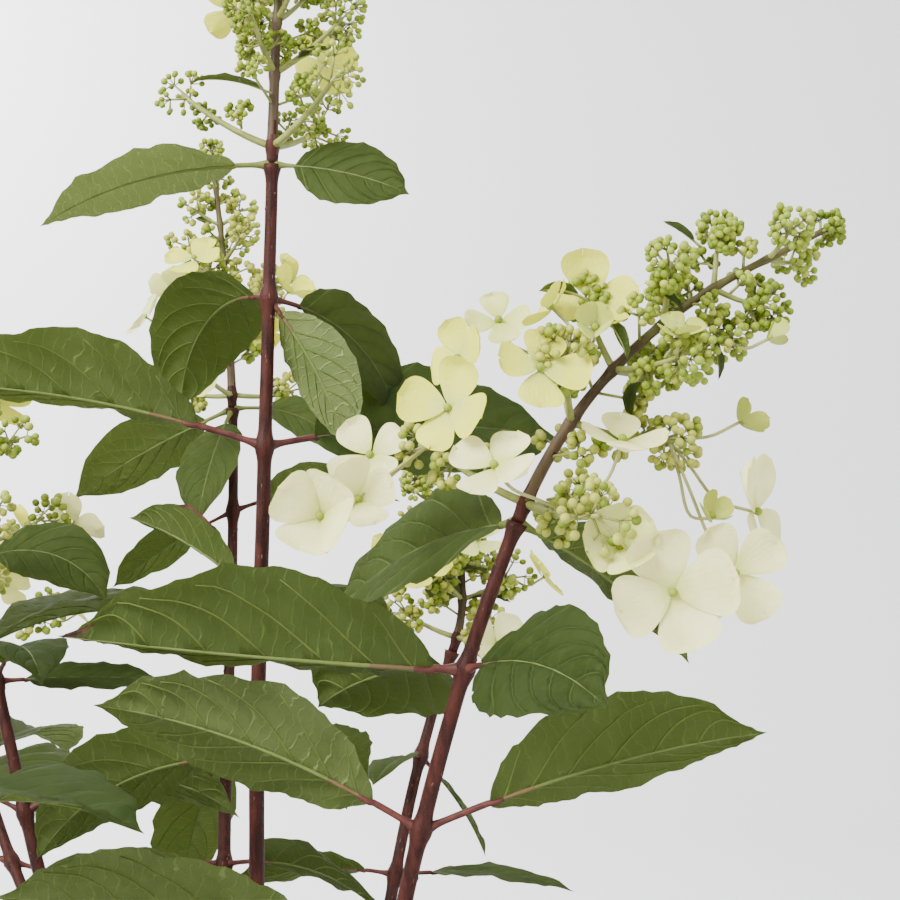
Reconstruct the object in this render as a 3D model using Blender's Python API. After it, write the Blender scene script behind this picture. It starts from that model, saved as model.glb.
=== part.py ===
"""Panicle hydrangea in a plain nursery pot: pot, soil, woody crown, canes, leafy shoots, flower heads."""
import math
import random

import bmesh
import bpy
import numpy as np
from mathutils import Matrix, Vector

# Sizes in metres, angles in degrees. +Z is up, the origin is the middle of the pot's underside.

# Pot and the soil that fills it
POT_HEIGHT = 0.205
POT_FOOT_RADIUS = 0.086
POT_WALL_TOP_RADIUS = 0.108
POT_RIM_RADIUS = 0.115
POT_RIM_HEIGHT = 0.016
POT_WALL = 0.0030
POT_FLOOR = 0.0040
POT_SIDES = 28
SOIL_TOP = 0.187
SOIL_EDGE_DROP = 0.004
JOINT_GAP = 0.0003

# Woody crown: a short stump whose arms carry the canes
STUMP_HEIGHT = 0.026
STUMP_RADIUS = 0.0115
STUMP_FLARE_RADIUS = 0.0190
STUMP_SIDES = 12
ARM_START_HEIGHT = 0.204
ARM_LENGTH = 0.036
ARM_RADIUS_START = 0.0064
ARM_RINGS = (0.06, 0.5, 1.0)
ARM_SWELL_HALFWAY = 0.88

# Canes and the leafy shoots that carry them on
CANE_RADIUS_FOOT = 0.0028
CANE_RADIUS_TIP = 0.0020
CANE_HANDLE = 0.36
CANE_STEPS = 60
CANE_RINGS_BARE = 4
SHOOT_RINGS_PER_NODE = 2
SHOOT_BELOW_LOWEST_LEAF = 0.014
SHOOT_ABOVE_TOP_LEAF = 0.004
INTERNODE = 0.0505
INTERNODE_SHORTENING = 0.007

# Leaves: length of the blade at each node from the top down, as shares of the full length
LEAF_LENGTH = 0.104
LEAF_SIZES = (0.62, 0.84, 0.98, 1.0, 0.94, 0.84)
LEAF_WIDTH_SHARE = 0.55
LEAF_THICKNESS = 0.0016
LEAF_CURL = 0.10
PETIOLE_LENGTH = 0.017
PETIOLE_RADIUS = 0.0014
LEAF_RINGS = (-0.92, 0.0, 0.34, 0.76)
LEAF_SPINE_STEPS = 30
LEAF_CLEARANCE = 0.0085
LEAF_CLEARANCE_OWN_SHOOT = 0.0050

# What is tried in turn with a leaf of the rule that comes near something: a change of its plan angle and
# of its rise, and a share of its length
LEAF_TRIES = (
    (0, 0, 1), (16, 6, 1), (-16, -8, 0.95), (30, -14, 0.9), (-30, 10, 0.85), (0, -26, 0.8), (0, 20, 0.7))

# Flower heads: whorls of three branches up an axis, each branch ending in a cluster of buds
HEAD_STEPS = 24
HEAD_BENT_BY = 0.8
HEAD_RINGS = 8
HEAD_RADIUS_TIP = 0.0009
HEAD_TAPER = 0.8
WHORL_LOWEST = 0.0060
WHORL_SHARES = (0, 0.22, 0.38, 0.54, 0.69, 0.84)
WHORL_REACH = (1.0, 0.80, 0.68, 0.54, 0.45, 0.36)
WHORL_ANGLES = (80, 62, 62, 58, 54, 46)
WHORL_BRANCHES = (3, 3, 3, 3, 2, 2)
BRANCH_RADIUS = 0.0010
FLORET_STALK_RADIUS = 0.0008
FLORET_STALK_SINKS = 0.004
CLUSTER_RADIUS = 0.0100
CLUSTER_RADIUS_TOP = 0.0064
FLORET_RADIUS = 0.0122
FLORET_CUP = 0.16
FLORET_NOTCH = 0.46
FLORET_THICKNESS = 0.0014
FLORET_STANDS_OFF = 0.013
WHORLS_WITH_FLORETS = 3

# Clearances are measured between points this far apart; canes and heads nearer than the limit are printed
SKELETON_SPACING = 0.004
SKELETON_LIMIT = 0.012
LEAF_SAMPLE_ROWS = 12
LEAF_SAMPLES_NEAR_ROOT = 12

UP = np.array([0.0, 0.0, 1.0])

# Each cane: where its top leaf node stands; how it leans there and at its foot; the plan angle of its top
# pair of leaves; how many leaf nodes it has; the size of its leaves; and its flower head: length, plan
# angle and lean at its tip, reach of its lowest branches, plan angle of its first branch. Plan angles
# run from +X towards +Y and leans are from upright.
CANES = {
    "front_right": dict(tip=(0.0747, -0.092, 0.4756), turn=-3, lean=22, foot_turn=-58, foot_lean=33,
                        leaf_turn=0, nodes=5, leaf_scale=1.0,
                        head=dict(length=0.124, turn=2, lean=63, reach=0.036, first=180, florets=0)),
    "centre": dict(tip=(-0.0016, -0.020, 0.5934), turn=0, lean=0.7, foot_turn=-125, foot_lean=6,
                   leaf_turn=0, nodes=6, leaf_scale=1.0,
                   head=dict(length=0.116, turn=0, lean=4, reach=0.036, first=180, florets=0, closed=20)),
    "back_centre": dict(tip=(-0.0350, 0.150, 0.5300), turn=120, lean=5, foot_turn=118, foot_lean=30,
                        leaf_turn=35, nodes=5, leaf_scale=0.9,
                        head=dict(length=0.112, turn=160, lean=8, reach=0.032, first=20, florets=3)),
    "left_back": dict(tip=(-0.1170, 0.055, 0.4650), turn=175, lean=14, foot_turn=160, foot_lean=40,
                      leaf_turn=20, nodes=5, leaf_scale=0.95,
                      head=dict(length=0.105, turn=180, lean=20, reach=0.036, first=50, florets=2)),
    "back_right": dict(tip=(0.0570, 0.130, 0.4300), turn=10, lean=20, foot_turn=68, foot_lean=44,
                       leaf_turn=80, nodes=4, leaf_scale=0.8,
                       head=dict(length=0.076, turn=175, lean=34, reach=0.026, first=175, florets=2)),
    "front_left": dict(tip=(-0.1280, -0.085, 0.4250), turn=205, lean=17, foot_turn=214, foot_lean=42,
                       leaf_turn=60, nodes=5, leaf_scale=1.0,
                       head=dict(length=0.110, turn=205, lean=30, reach=0.040, first=0, florets=3)),
    "far_left": dict(tip=(-0.1900, 0.005, 0.3500), turn=182, lean=28, foot_turn=184, foot_lean=60,
                     leaf_turn=40, nodes=4, leaf_scale=0.9,
                     head=dict(length=0.095, turn=182, lean=46, reach=0.034, first=30, florets=3)),
    "back_left": dict(tip=(-0.1480, 0.160, 0.4250), turn=128, lean=18, foot_turn=134, foot_lean=48,
                      leaf_turn=0, nodes=5, leaf_scale=0.9,
                      head=dict(length=0.100, turn=130, lean=32, reach=0.036, first=10, florets=3)),
    "right_low": dict(tip=(0.1150, 0.030, 0.2900), turn=12, lean=44, foot_turn=12, foot_lean=58,
                      leaf_turn=90, nodes=3, leaf_scale=0.9,
                      head=dict(length=0.070, turn=12, lean=62, reach=0.026, first=0, florets=2)),
    "front_low": dict(tip=(-0.0250, -0.130, 0.2950), turn=-100, lean=36, foot_turn=-100, foot_lean=56,
                      leaf_turn=10, nodes=3, leaf_scale=0.9, head=None),
    "right_back": dict(tip=(0.0950, 0.118, 0.2750), turn=52, lean=38, foot_turn=46, foot_lean=54,
                       leaf_turn=20, nodes=3, leaf_scale=0.85, head=None),
}

# Leaves that are set by hand, at their node from the top down. Each: plan angle, rise at the root, bend
# down by the tip, blade length, roll about the midrib, fold of each half upwards, petiole length.
SET_LEAVES = {
    "front_right": {
        0: ((138, -4, 40, 0.074, -50, 14, 0.006), (14, -26, 28, 0.058, -40, 42, 0.007)),
        1: ((180, 3, -4, 0.105, 37, 33, 0.009), (-63, 12, 38, 0.066, 50, 12, 0.010),
            (122, 0, 24, 0.080, 44, 14, 0.010)),
        2: ((180, 31, 24, 0.084, 48, 16, 0.016), (-4, 23, 16, 0.080, -46, 24, 0.021)),
        3: ((184, 22, 20, 0.096, 40, 20, 0.020), (-30, -12, 34, 0.080, -20, 25, 0.018)),
    },
    "centre": {
        0: ((186, -1, 36, 0.066, 15, 8, 0.012), (-20, -6, 22, 0.042, 70, 8, 0.008)),
        1: ((130, 14, 108, 0.066, 30, 16, 0.008), (-16, -52, 22, 0.050, -80, 34, 0.006),
            (40, -4, 74, 0.058, 70, 12, 0.012)),
        2: ((184, 18, 20, 0.092, 30, 32, 0.023), (30, 12, 20, 0.096, 50, 14, 0.018)),
        3: ((154, 38, 24, 0.046, 48, 36, 0.013), (64, 12, 50, 0.066, 10, 20, 0.014)),
        4: ((184, 2, 62, 0.066, 55, 24, 0.014), (75, 0, 40, 0.080, -20, 20, 0.018)),
    },
    "back_centre": {
        0: ((182, -24, 14, 0.064, 46, 14, 0.012), (-14, 4, 66, 0.046, 40, 14, 0.014),
            (-104, -40, 30, 0.052, 10, 14, 0.010)),
        1: ((190, -26, 16, 0.046, 40, 12, 0.012), (-10, 20, 40, 0.060, -30, 18, 0.012)),
        3: ((126, -48, 30, 0.066, 0, 12, 0.012), (-30, 2, 44, 0.044, -20, 16, 0.012)),
        4: ((-34, 12, 50, 0.066, -36, 14, 0.014), (186, 6, 50, 0.078, 20, 16, 0.014)),
    },
    "left_back": {
        0: ((-14, 22, 84, 0.050, 50, 14, 0.010), (166, -22, 40, 0.054, 10, 14, 0.012)),
        1: ((6, 4, 10, 0.050, 18, 10, 0.010), (-62, 38, 84, 0.056, 0, 14, 0.012)),
        2: ((-10, 30, 70, 0.070, -40, 14, 0.014), (176, 26, 40, 0.056, 30, 16, 0.012)),
    },
    "back_right": {
        1: ((30, -44, 24, 0.042, 20, 12, 0.010), (246, 8, 40, 0.034, 10, 14, 0.010)),
        2: ((-6, 6, 24, 0.056, 0, 10, 0.014), (176, 10, 40, 0.056, 30, 16, 0.012)),
    },
}

# Sterile florets set by hand on a head: offset from the cane's tip, plan angle and lean of the way that
# the floret faces, radius.
SET_FLORETS = {
    "front_right": (
        (-0.053, -0.024, 0.001, -100, 84, 0.0135), (-0.044, -0.010, 0.006, -75, 76, 0.0120),
        (-0.041, 0.004, 0.019, -110, 70, 0.0110), (-0.019, -0.020, 0.030, -115, 76, 0.0118),
        (-0.007, -0.029, 0.014, -110, 52, 0.0118), (0.005, -0.026, 0.040, -75, 62, 0.0122),
        (-0.016, -0.007, 0.045, -140, 80, 0.0100), (-0.005, 0.004, 0.057, -90, 60, 0.0090),
        (0.021, -0.003, 0.062, -80, 56, 0.0122), (0.009, -0.015, 0.058, 170, 50, 0.0085),
        (0.020, -0.025, 0.051, -100, 70, 0.0065), (0.043, -0.021, 0.050, -88, 34, 0.0075),
        (0.070, -0.004, 0.051, 10, 60, 0.0050), (0.027, -0.023, 0.021, -70, 26, 0.0105),
        (0.062, -0.002, 0.028, 0, 58, 0.0070), (0.026, -0.026, -0.007, -96, 74, 0.0120),
        (0.039, -0.032, -0.019, -90, 86, 0.0155), (0.057, -0.020, -0.014, -80, 88, 0.0130),
        (0.066, -0.001, 0.003, -28, 84, 0.0160), (0.052, -0.011, 0.001, -60, 50, 0.0065),
    ),
    "centre": ((0.014, 0.036, 0.044, 70, 60, 0.0110), (-0.016, 0.034, 0.062, 110, 60, 0.0110)),
}


def heading(turn, lean):
    """The unit vector that leans from upright by lean towards the plan angle turn."""
    across = math.sin(math.radians(lean))
    return np.array([
        across * math.cos(math.radians(turn)),
        across * math.sin(math.radians(turn)),
        math.cos(math.radians(lean)),
    ])


def unit(vector):
    return vector / np.linalg.norm(vector)


def turned(vector, axis, degrees):
    """The vector turned about a unit axis."""
    angle = math.radians(degrees)
    return (vector * math.cos(angle) + np.cross(axis, vector) * math.sin(angle)
            + axis * (axis @ vector) * (1 - math.cos(angle)))


def cane_foot(cane):
    """Where a cane starts: at the end of its arm of the crown."""
    return np.array([0, 0, ARM_START_HEIGHT]) + ARM_LENGTH * heading(cane["foot_turn"], cane["foot_lean"])


def cane_path(cane):
    """Points of the smooth curve from a cane's foot to its top leaf node."""
    foot, tip = cane_foot(cane), np.array(cane["tip"])
    handle = CANE_HANDLE * np.linalg.norm(tip - foot)
    low = foot + handle * heading(cane["foot_turn"], cane["foot_lean"])
    high = tip - handle * heading(cane["turn"], cane["lean"])
    t = np.linspace(0, 1, CANE_STEPS + 1)[:, None]
    return (1 - t) ** 3 * foot + 3 * (1 - t) ** 2 * t * low + 3 * (1 - t) * t ** 2 * high + t ** 3 * tip


def head_path(cane):
    """Points of a flower head's axis, which bends evenly from the cane's lean to the head's own."""
    head = cane["head"]
    start, end = heading(cane["turn"], cane["lean"]), heading(head["turn"], head["lean"])
    points = [np.array(cane["tip"])]
    for step in range(HEAD_STEPS):
        share = min(1.0, (step + 0.5) / HEAD_STEPS / HEAD_BENT_BY)
        points.append(points[-1] + unit(start * (1 - share) + end * share) * head["length"] / HEAD_STEPS)
    return np.array(points)


def distances(path):
    return np.concatenate([[0], np.cumsum(np.linalg.norm(np.diff(path, axis=0), axis=1))])


def along(path, distance):
    """The point at a distance up a path; beyond its end the path runs straight on."""
    marks = distances(path)
    if distance > marks[-1]:
        return path[-1] + unit(path[-1] - path[-2]) * (distance - marks[-1])
    return np.array([np.interp(distance, marks, path[:, axis]) for axis in range(3)])


def cane_radius(cane, distance):
    """A cane's radius at a distance below its tip: it tapers evenly from foot to tip."""
    share = np.clip(distance / distances(cane_path(cane))[-1], 0, 1)
    return CANE_RADIUS_TIP + (CANE_RADIUS_FOOT - CANE_RADIUS_TIP) * share


def node_depths(cane):
    """How far below the tip each leaf node stands; internodes are shorter towards the tip."""
    depths = [0.0]
    for number in range(cane["nodes"] - 1):
        depths.append(depths[-1] + INTERNODE - INTERNODE_SHORTENING * 0.4 ** number)
    return depths


def leaf_spec(root, turn, rise, bend, length, roll, fold, petiole):
    return dict(
        root=root, turn=turn, rise=rise, bend=bend, length=length, roll=roll, fold=fold, petiole=petiole)


def leaf_spine(leaf):
    """A leaf's midline from the cane through the petiole to the tip, with its across and up directions."""
    total = leaf["petiole"] + leaf["length"]
    flat = np.array([-math.sin(math.radians(leaf["turn"])), math.cos(math.radians(leaf["turn"])), 0])
    points, across, upward = [leaf["root"]], [], []
    for step in range(LEAF_SPINE_STEPS + 1):
        rise = leaf["rise"] - leaf["bend"] * (step / LEAF_SPINE_STEPS) ** 1.3
        ahead = heading(leaf["turn"], 90 - rise)
        across.append(turned(flat, ahead, leaf["roll"]))
        upward.append(np.cross(ahead, across[-1]))
        points.append(points[-1] + ahead * total / LEAF_SPINE_STEPS)
    return np.array(points[:-1]), np.array(across), np.array(upward)


def blade_half_width(share):
    """Half the blade's width as a share of its widest, from base to tip."""
    return math.sin(math.pi * share ** 0.88) ** 0.72 * (1 - 0.20 * share ** 5)


def spine_at(leaf, spine, share):
    """The midline point and directions at a share of the blade; below 0 is the petiole."""
    total = leaf["petiole"] + leaf["length"]
    place = (leaf["petiole"] + share * leaf["length"]) / total * LEAF_SPINE_STEPS
    low = min(max(int(place), 0), LEAF_SPINE_STEPS - 1)
    part = place - low
    return [line[low] * (1 - part) + line[low + 1] * part for line in spine]


def blade_point(leaf, spine, share, side, raised=0.0):
    """A point of the blade: side runs from -1 at one edge to 1 at the other."""
    middle, across, upward = spine_at(leaf, spine, share)
    reach = LEAF_WIDTH_SHARE * leaf["length"] / 2 * blade_half_width(min(max(share, 0.0), 1.0))
    fold = math.radians(leaf["fold"])
    lift = abs(side) * reach * math.sin(fold) - LEAF_CURL * reach * side ** 2
    return middle + across * side * reach * math.cos(fold) + upward * (lift + raised)


def leaf_samples(leaf, spine):
    """Points spread over a leaf that stand for it where clearances are measured."""
    places = [spine_at(leaf, spine, -share * leaf["petiole"] / leaf["length"])[0] for share in (0.1, 0.4)]
    for row in range(LEAF_SAMPLE_ROWS):
        for side in (-1, -0.5, 0, 0.5, 1):
            places.append(blade_point(leaf, spine, (row + 0.5) / LEAF_SAMPLE_ROWS, side))
    return np.array(places)


def rule_leaves(cane, number, dice):
    """The leaves of a node that has none set by hand: a pair, turned by a quarter from node to node."""
    depth = node_depths(cane)[number]
    path = cane_path(cane)
    root = along(path, distances(path)[-1] - depth)
    leaves = []
    for side in (0, 180):
        turn = cane["leaf_turn"] + 90 * (number % 2) + side + dice.uniform(-12, 12)
        length = LEAF_LENGTH * cane["leaf_scale"] * LEAF_SIZES[number] * dice.uniform(0.92, 1.05)
        leaves.append(leaf_spec(
            root, turn, 26 - 6 * number + dice.uniform(-6, 6), 44 + 5 * number + dice.uniform(-8, 10),
            length, dice.uniform(-22, 22), dice.uniform(12, 26), PETIOLE_LENGTH * dice.uniform(0.8, 1.2)))
    return leaves


def grow_leaves(skeleton):
    """All leaves by cane. Those set by hand come first; one of the rule that comes near another goes."""
    taken = [(name, "limb", points) for name, points in skeleton]
    grown = {name: [] for name in CANES}

    def clear(name, samples):
        for owner, kind, points in taken:
            near = samples[LEAF_SAMPLES_NEAR_ROOT:] if owner.split()[0] == name else samples
            limit = LEAF_CLEARANCE_OWN_SHOOT if owner == name else LEAF_CLEARANCE
            gap = np.linalg.norm(near[:, None] - points[None], axis=2).min()
            if gap < limit:
                return "%s by %.1f mm" % (owner, gap * 1000)
        return None

    wanted = []
    for name, cane in CANES.items():
        path = cane_path(cane)
        for number, depth in enumerate(node_depths(cane)):
            root = along(path, distances(path)[-1] - depth)
            for values in SET_LEAVES.get(name, {}).get(number, ()):
                wanted.append((0, name, leaf_spec(root, *values)))
    for name, cane in CANES.items():
        dice = random.Random("leaves of " + name)
        for number in range(cane["nodes"]):
            if number not in SET_LEAVES.get(name, {}):
                wanted.extend((1, name, leaf) for leaf in rule_leaves(cane, number, dice))
    for rank, name, leaf in wanted:
        for turn, rise, scale in LEAF_TRIES if rank else LEAF_TRIES[:1]:
            tried = dict(
                leaf, turn=leaf["turn"] + turn, rise=leaf["rise"] + rise, length=leaf["length"] * scale)
            spine = leaf_spine(tried)
            samples = leaf_samples(tried, spine)
            blocked = clear(name, samples)
            if blocked is None or rank == 0:
                if blocked:
                    print("set leaf of", name, "turn", leaf["turn"], "is near", blocked)
                taken.append((name, "leaf", samples))
                grown[name].append((tried, spine))
                break
    return grown


def head_layout(name, cane):
    """A flower head's branches, bud clusters and florets, each as plain places and sizes."""
    head = cane["head"]
    path = head_path(cane)
    dice = random.Random("head of " + name)
    branches, clusters, florets = [], [], []
    for number, share in enumerate(WHORL_SHARES):
        place = WHORL_LOWEST + share * (head["length"] - WHORL_LOWEST)
        start = along(path, place)
        ahead = unit(along(path, place + 0.002) - start)
        outward = unit(heading(head["first"], 90) - ahead * (heading(head["first"], 90) @ ahead))
        size = CLUSTER_RADIUS + (CLUSTER_RADIUS_TOP - CLUSTER_RADIUS) * share
        for turn in range(WHORL_BRANCHES[number]):
            spin = 360 / WHORL_BRANCHES[number] * turn + 60 * (number % 2) + dice.uniform(-10, 10)
            side = turned(outward, ahead, spin)
            closing = head.get("closed", 0) * (1 - share)
            angle = math.radians(WHORL_ANGLES[number] - closing + dice.uniform(-6, 6))
            way = ahead * math.cos(angle) + side * math.sin(angle)
            end = start + way * head["reach"] * WHORL_REACH[number] * dice.uniform(0.88, 1.08)
            branches.append((start, end, BRANCH_RADIUS * (1 - 0.4 * share)))
            clusters.append((end, size * dice.uniform(0.9, 1.1)))
            if turn < head["florets"] and number < WHORLS_WITH_FLORETS:
                centre = end + unit(way - 0.5 * UP) * FLORET_STANDS_OFF
                facing = unit(way + 0.5 * UP + 0.3 * side)
                florets.append((centre, facing, FLORET_RADIUS * dice.uniform(0.85, 1.05)))
    clusters.append((path[-1], CLUSTER_RADIUS_TOP * 0.9))
    for right, back, up, turn, lean, radius in SET_FLORETS.get(name, ()):
        florets.append((path[0] + np.array([right, back, up]), heading(turn, lean), radius))
    return path, branches, clusters, florets


def remove_everything():
    for scene_object in list(bpy.data.objects):
        bpy.data.objects.remove(scene_object, do_unlink=True)


def material(name, colour, roughness=0.6, metallic=0.0):
    made = bpy.data.materials.new(name)
    made.use_nodes = True
    shader = made.node_tree.nodes["Principled BSDF"]
    shader.inputs["Base Color"].default_value = (*colour, 1)
    shader.inputs["Roughness"].default_value = roughness
    shader.inputs["Metallic"].default_value = metallic
    made.diffuse_color = (*colour, 1)
    return made


def mesh_object(name, bm, collection):
    """A mesh object from a bmesh, with its faces turned outwards."""
    bmesh.ops.recalc_face_normals(bm, faces=bm.faces)
    mesh = bpy.data.meshes.new(name)
    bm.to_mesh(mesh)
    bm.free()
    made = bpy.data.objects.new(name, mesh)
    collection.objects.link(made)
    return made


def tube(name, points, radii, collection, resolution=1):
    """A closed tapering limb along points: a curve with a round bevel, made into a mesh."""
    curve = bpy.data.curves.new(name, "CURVE")
    curve.dimensions = "3D"
    curve.bevel_depth = 1.0
    curve.bevel_resolution = resolution
    curve.use_fill_caps = True
    line = curve.splines.new("POLY")
    line.points.add(len(points) - 1)
    for knot, point, radius in zip(line.points, points, radii):
        knot.co = (*point, 1)
        knot.radius = radius
    holder = bpy.data.objects.new(name, curve)
    collection.objects.link(holder)
    bpy.context.view_layer.update()
    evaluated = holder.evaluated_get(bpy.context.evaluated_depsgraph_get())
    mesh = bpy.data.meshes.new_from_object(evaluated)
    mesh.transform(holder.matrix_world)
    bpy.data.objects.remove(holder, do_unlink=True)
    bm = bmesh.new()
    bm.from_mesh(mesh)
    bpy.data.meshes.remove(mesh)
    bmesh.ops.remove_doubles(bm, verts=bm.verts, dist=0.00001)
    return mesh_object(name, bm, collection)


def rod(name, start, end, radius_start, radius_end, collection, sides=3):
    """A thin tapering twig between two points, its start sunk into what carries it."""
    way = Vector(end - start)
    bm = bmesh.new()
    bmesh.ops.create_cone(
        bm, cap_ends=True, segments=sides, radius1=radius_start, radius2=radius_end, depth=way.length)
    turn = way.to_track_quat("Z", "Y").to_matrix().to_4x4()
    bmesh.ops.transform(bm, matrix=Matrix.Translation(Vector((start + end) / 2)) @ turn, verts=bm.verts)
    return mesh_object(name, bm, collection)


def leaf_body(name, leaf, spine, collection):
    """A petiole and blade as one thin closed body: a sphere of few faces drawn out along the midline."""
    rings = len(LEAF_RINGS)
    bm = bmesh.new()
    bmesh.ops.create_uvsphere(bm, u_segments=4, v_segments=rings + 1, radius=1)
    for vertex in bm.verts:
        ring = round(math.acos(max(-1.0, min(1.0, vertex.co.z))) / math.pi * (rings + 1))
        if ring == 0:
            vertex.co = Vector(leaf["root"])
            continue
        if ring == rings + 1:
            vertex.co = Vector(blade_point(leaf, spine, 1.0, 0))
            continue
        side = round(vertex.co.x / max(abs(vertex.co.x), abs(vertex.co.y)))
        top = round(vertex.co.y / max(abs(vertex.co.x), abs(vertex.co.y)))
        share = LEAF_RINGS[ring - 1]
        if share <= 0:
            middle, across, upward = spine_at(leaf, spine, share * leaf["petiole"] / leaf["length"])
            offset = across * side * 1.2 + upward * top
            vertex.co = Vector(middle + offset * PETIOLE_RADIUS)
        else:
            vertex.co = Vector(blade_point(leaf, spine, share, side, top * LEAF_THICKNESS / 2))
    return mesh_object(name, bm, collection)


def cluster_body(name, centre, radius, collection):
    bm = bmesh.new()
    bmesh.ops.create_icosphere(bm, subdivisions=1, radius=radius, matrix=Matrix.Translation(Vector(centre)))
    return mesh_object(name, bm, collection)


def floret_body(name, centre, facing, radius, collection):
    """A floret's four petals as one thin star plate, slightly cupped towards the way it faces."""
    bm = bmesh.new()
    bmesh.ops.create_uvsphere(bm, u_segments=8, v_segments=2, radius=1)
    turn = Vector(facing).to_track_quat("Z", "Y").to_matrix().to_4x4()
    for vertex in bm.verts:
        if abs(vertex.co.z) > 0.5:
            vertex.co = Vector((0, 0, math.copysign(FLORET_THICKNESS / 2, vertex.co.z)))
            continue
        petal = round(math.degrees(math.atan2(vertex.co.y, vertex.co.x)) / 45) % 2 == 0
        reach = radius if petal else radius * FLORET_NOTCH
        flat = Vector((vertex.co.x, vertex.co.y, 0)).normalized() * reach
        vertex.co = flat + Vector((0, 0, FLORET_CUP * reach))
    bmesh.ops.transform(bm, matrix=Matrix.Translation(Vector(centre)) @ turn, verts=bm.verts)
    return mesh_object(name, bm, collection)


def nearest_place(point, segments):
    """The place on the nearest of some straight segments."""
    best, place = 1e9, None
    for start, end in segments:
        share = np.clip((point - start) @ (end - start) / ((end - start) @ (end - start)), 0.15, 0.95)
        here = start + (end - start) * share
        if np.linalg.norm(point - here) < best:
            best, place = np.linalg.norm(point - here), here
    return place


def islands(bm):
    """The separate shells of a mesh as lists of faces."""
    seen, groups = set(), []
    for face in bm.faces:
        if face in seen:
            continue
        group, front = [], [face]
        seen.add(face)
        while front:
            current = front.pop()
            group.append(current)
            for edge in current.edges:
                for other in edge.link_faces:
                    if other not in seen:
                        seen.add(other)
                        front.append(other)
        groups.append(group)
    return groups


def largest_shell(mesh):
    """Loose scraps and closed hollows left by a union are dropped; returns how many edges are then open."""
    bm = bmesh.new()
    bm.from_mesh(mesh)
    bmesh.ops.triangulate(bm, faces=bm.faces)
    bmesh.ops.remove_doubles(bm, verts=bm.verts, dist=0.000001)
    groups = sorted(islands(bm), key=len, reverse=True)
    for group in groups[1:]:
        bmesh.ops.delete(bm, geom=group, context="FACES")
    loose = [vertex for vertex in bm.verts if not vertex.link_faces]
    bmesh.ops.delete(bm, geom=loose, context="VERTS")
    bmesh.ops.recalc_face_normals(bm, faces=bm.faces)
    open_edges = sum(1 for edge in bm.edges if len(edge.link_faces) != 2)
    bm.to_mesh(mesh)
    bm.free()
    return open_edges


def fuse(base, parts):
    """One union of a limb with everything in the collection of its leaves, buds or florets."""
    join = base.modifiers.new("join", "BOOLEAN")
    join.operation = "UNION"
    join.operand_type = "COLLECTION"
    join.collection = parts
    for solver in ("EXACT", "MANIFOLD"):
        join.solver = solver
        bpy.context.view_layer.update()
        evaluated = base.evaluated_get(bpy.context.evaluated_depsgraph_get())
        joined = bpy.data.meshes.new_from_object(evaluated)
        open_edges = largest_shell(joined)
        if not open_edges:
            break
    base.modifiers.remove(join)
    base.data = joined
    for part in list(parts.objects):
        bpy.data.objects.remove(part, do_unlink=True)
    print(base.name, "triangles", len(joined.polygons), "by", solver, "open edges", open_edges)


def finish(body, finish_material, smooth_angle=None):
    body.data.materials.clear()
    body.data.materials.append(finish_material)
    if smooth_angle is not None:
        body.data.shade_smooth()
        body.data.set_sharp_from_angle(angle=math.radians(smooth_angle))


def lathe(name, profile, sides, collection):
    """A closed solid of revolution from a profile of radius and height that starts and ends on the axis."""
    bm = bmesh.new()
    knots = [bm.verts.new((radius, 0, height)) for radius, height in profile]
    edges = [bm.edges.new(pair) for pair in zip(knots, knots[1:])]
    bmesh.ops.spin(bm, geom=knots + edges, cent=(0, 0, 0), axis=(0, 0, 1), angle=2 * math.pi, steps=sides)
    bmesh.ops.remove_doubles(bm, verts=bm.verts, dist=0.00001)
    return mesh_object(name, bm, collection)


def make_pot(collection):
    rim_under = POT_HEIGHT - POT_RIM_HEIGHT
    pot = lathe("pot", (
        (0, 0), (POT_FOOT_RADIUS, 0), (POT_WALL_TOP_RADIUS, rim_under), (POT_RIM_RADIUS, rim_under),
        (POT_RIM_RADIUS + 0.001, POT_HEIGHT - 0.002), (POT_RIM_RADIUS - 0.001, POT_HEIGHT),
        (POT_WALL_TOP_RADIUS - 0.001, POT_HEIGHT), (POT_WALL_TOP_RADIUS - POT_WALL, rim_under),
        (POT_FOOT_RADIUS - POT_WALL, POT_FLOOR), (0, POT_FLOOR),
    ), POT_SIDES, collection)
    finish(pot, material("dark pot plastic", (0.035, 0.036, 0.038), 0.55), 30)
    return pot


def make_soil(collection):
    """Soil a joint gap inside the pot, domed a little towards the stump."""
    slope = (POT_WALL_TOP_RADIUS - POT_FOOT_RADIUS) / (POT_HEIGHT - POT_RIM_HEIGHT - POT_FLOOR)
    low = POT_FLOOR + JOINT_GAP
    edge = SOIL_TOP - SOIL_EDGE_DROP
    inside = POT_FOOT_RADIUS - POT_WALL - 2 * JOINT_GAP
    soil = lathe("potting_soil", (
        (0, low), (inside, low), (inside + slope * (edge - low), edge),
        (0.062, SOIL_TOP - 0.001), (0.040, SOIL_TOP), (0, SOIL_TOP),
    ), POT_SIDES, collection)
    finish(soil, material("dark potting soil", (0.040, 0.026, 0.017), 0.95), 30)
    return soil


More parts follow.
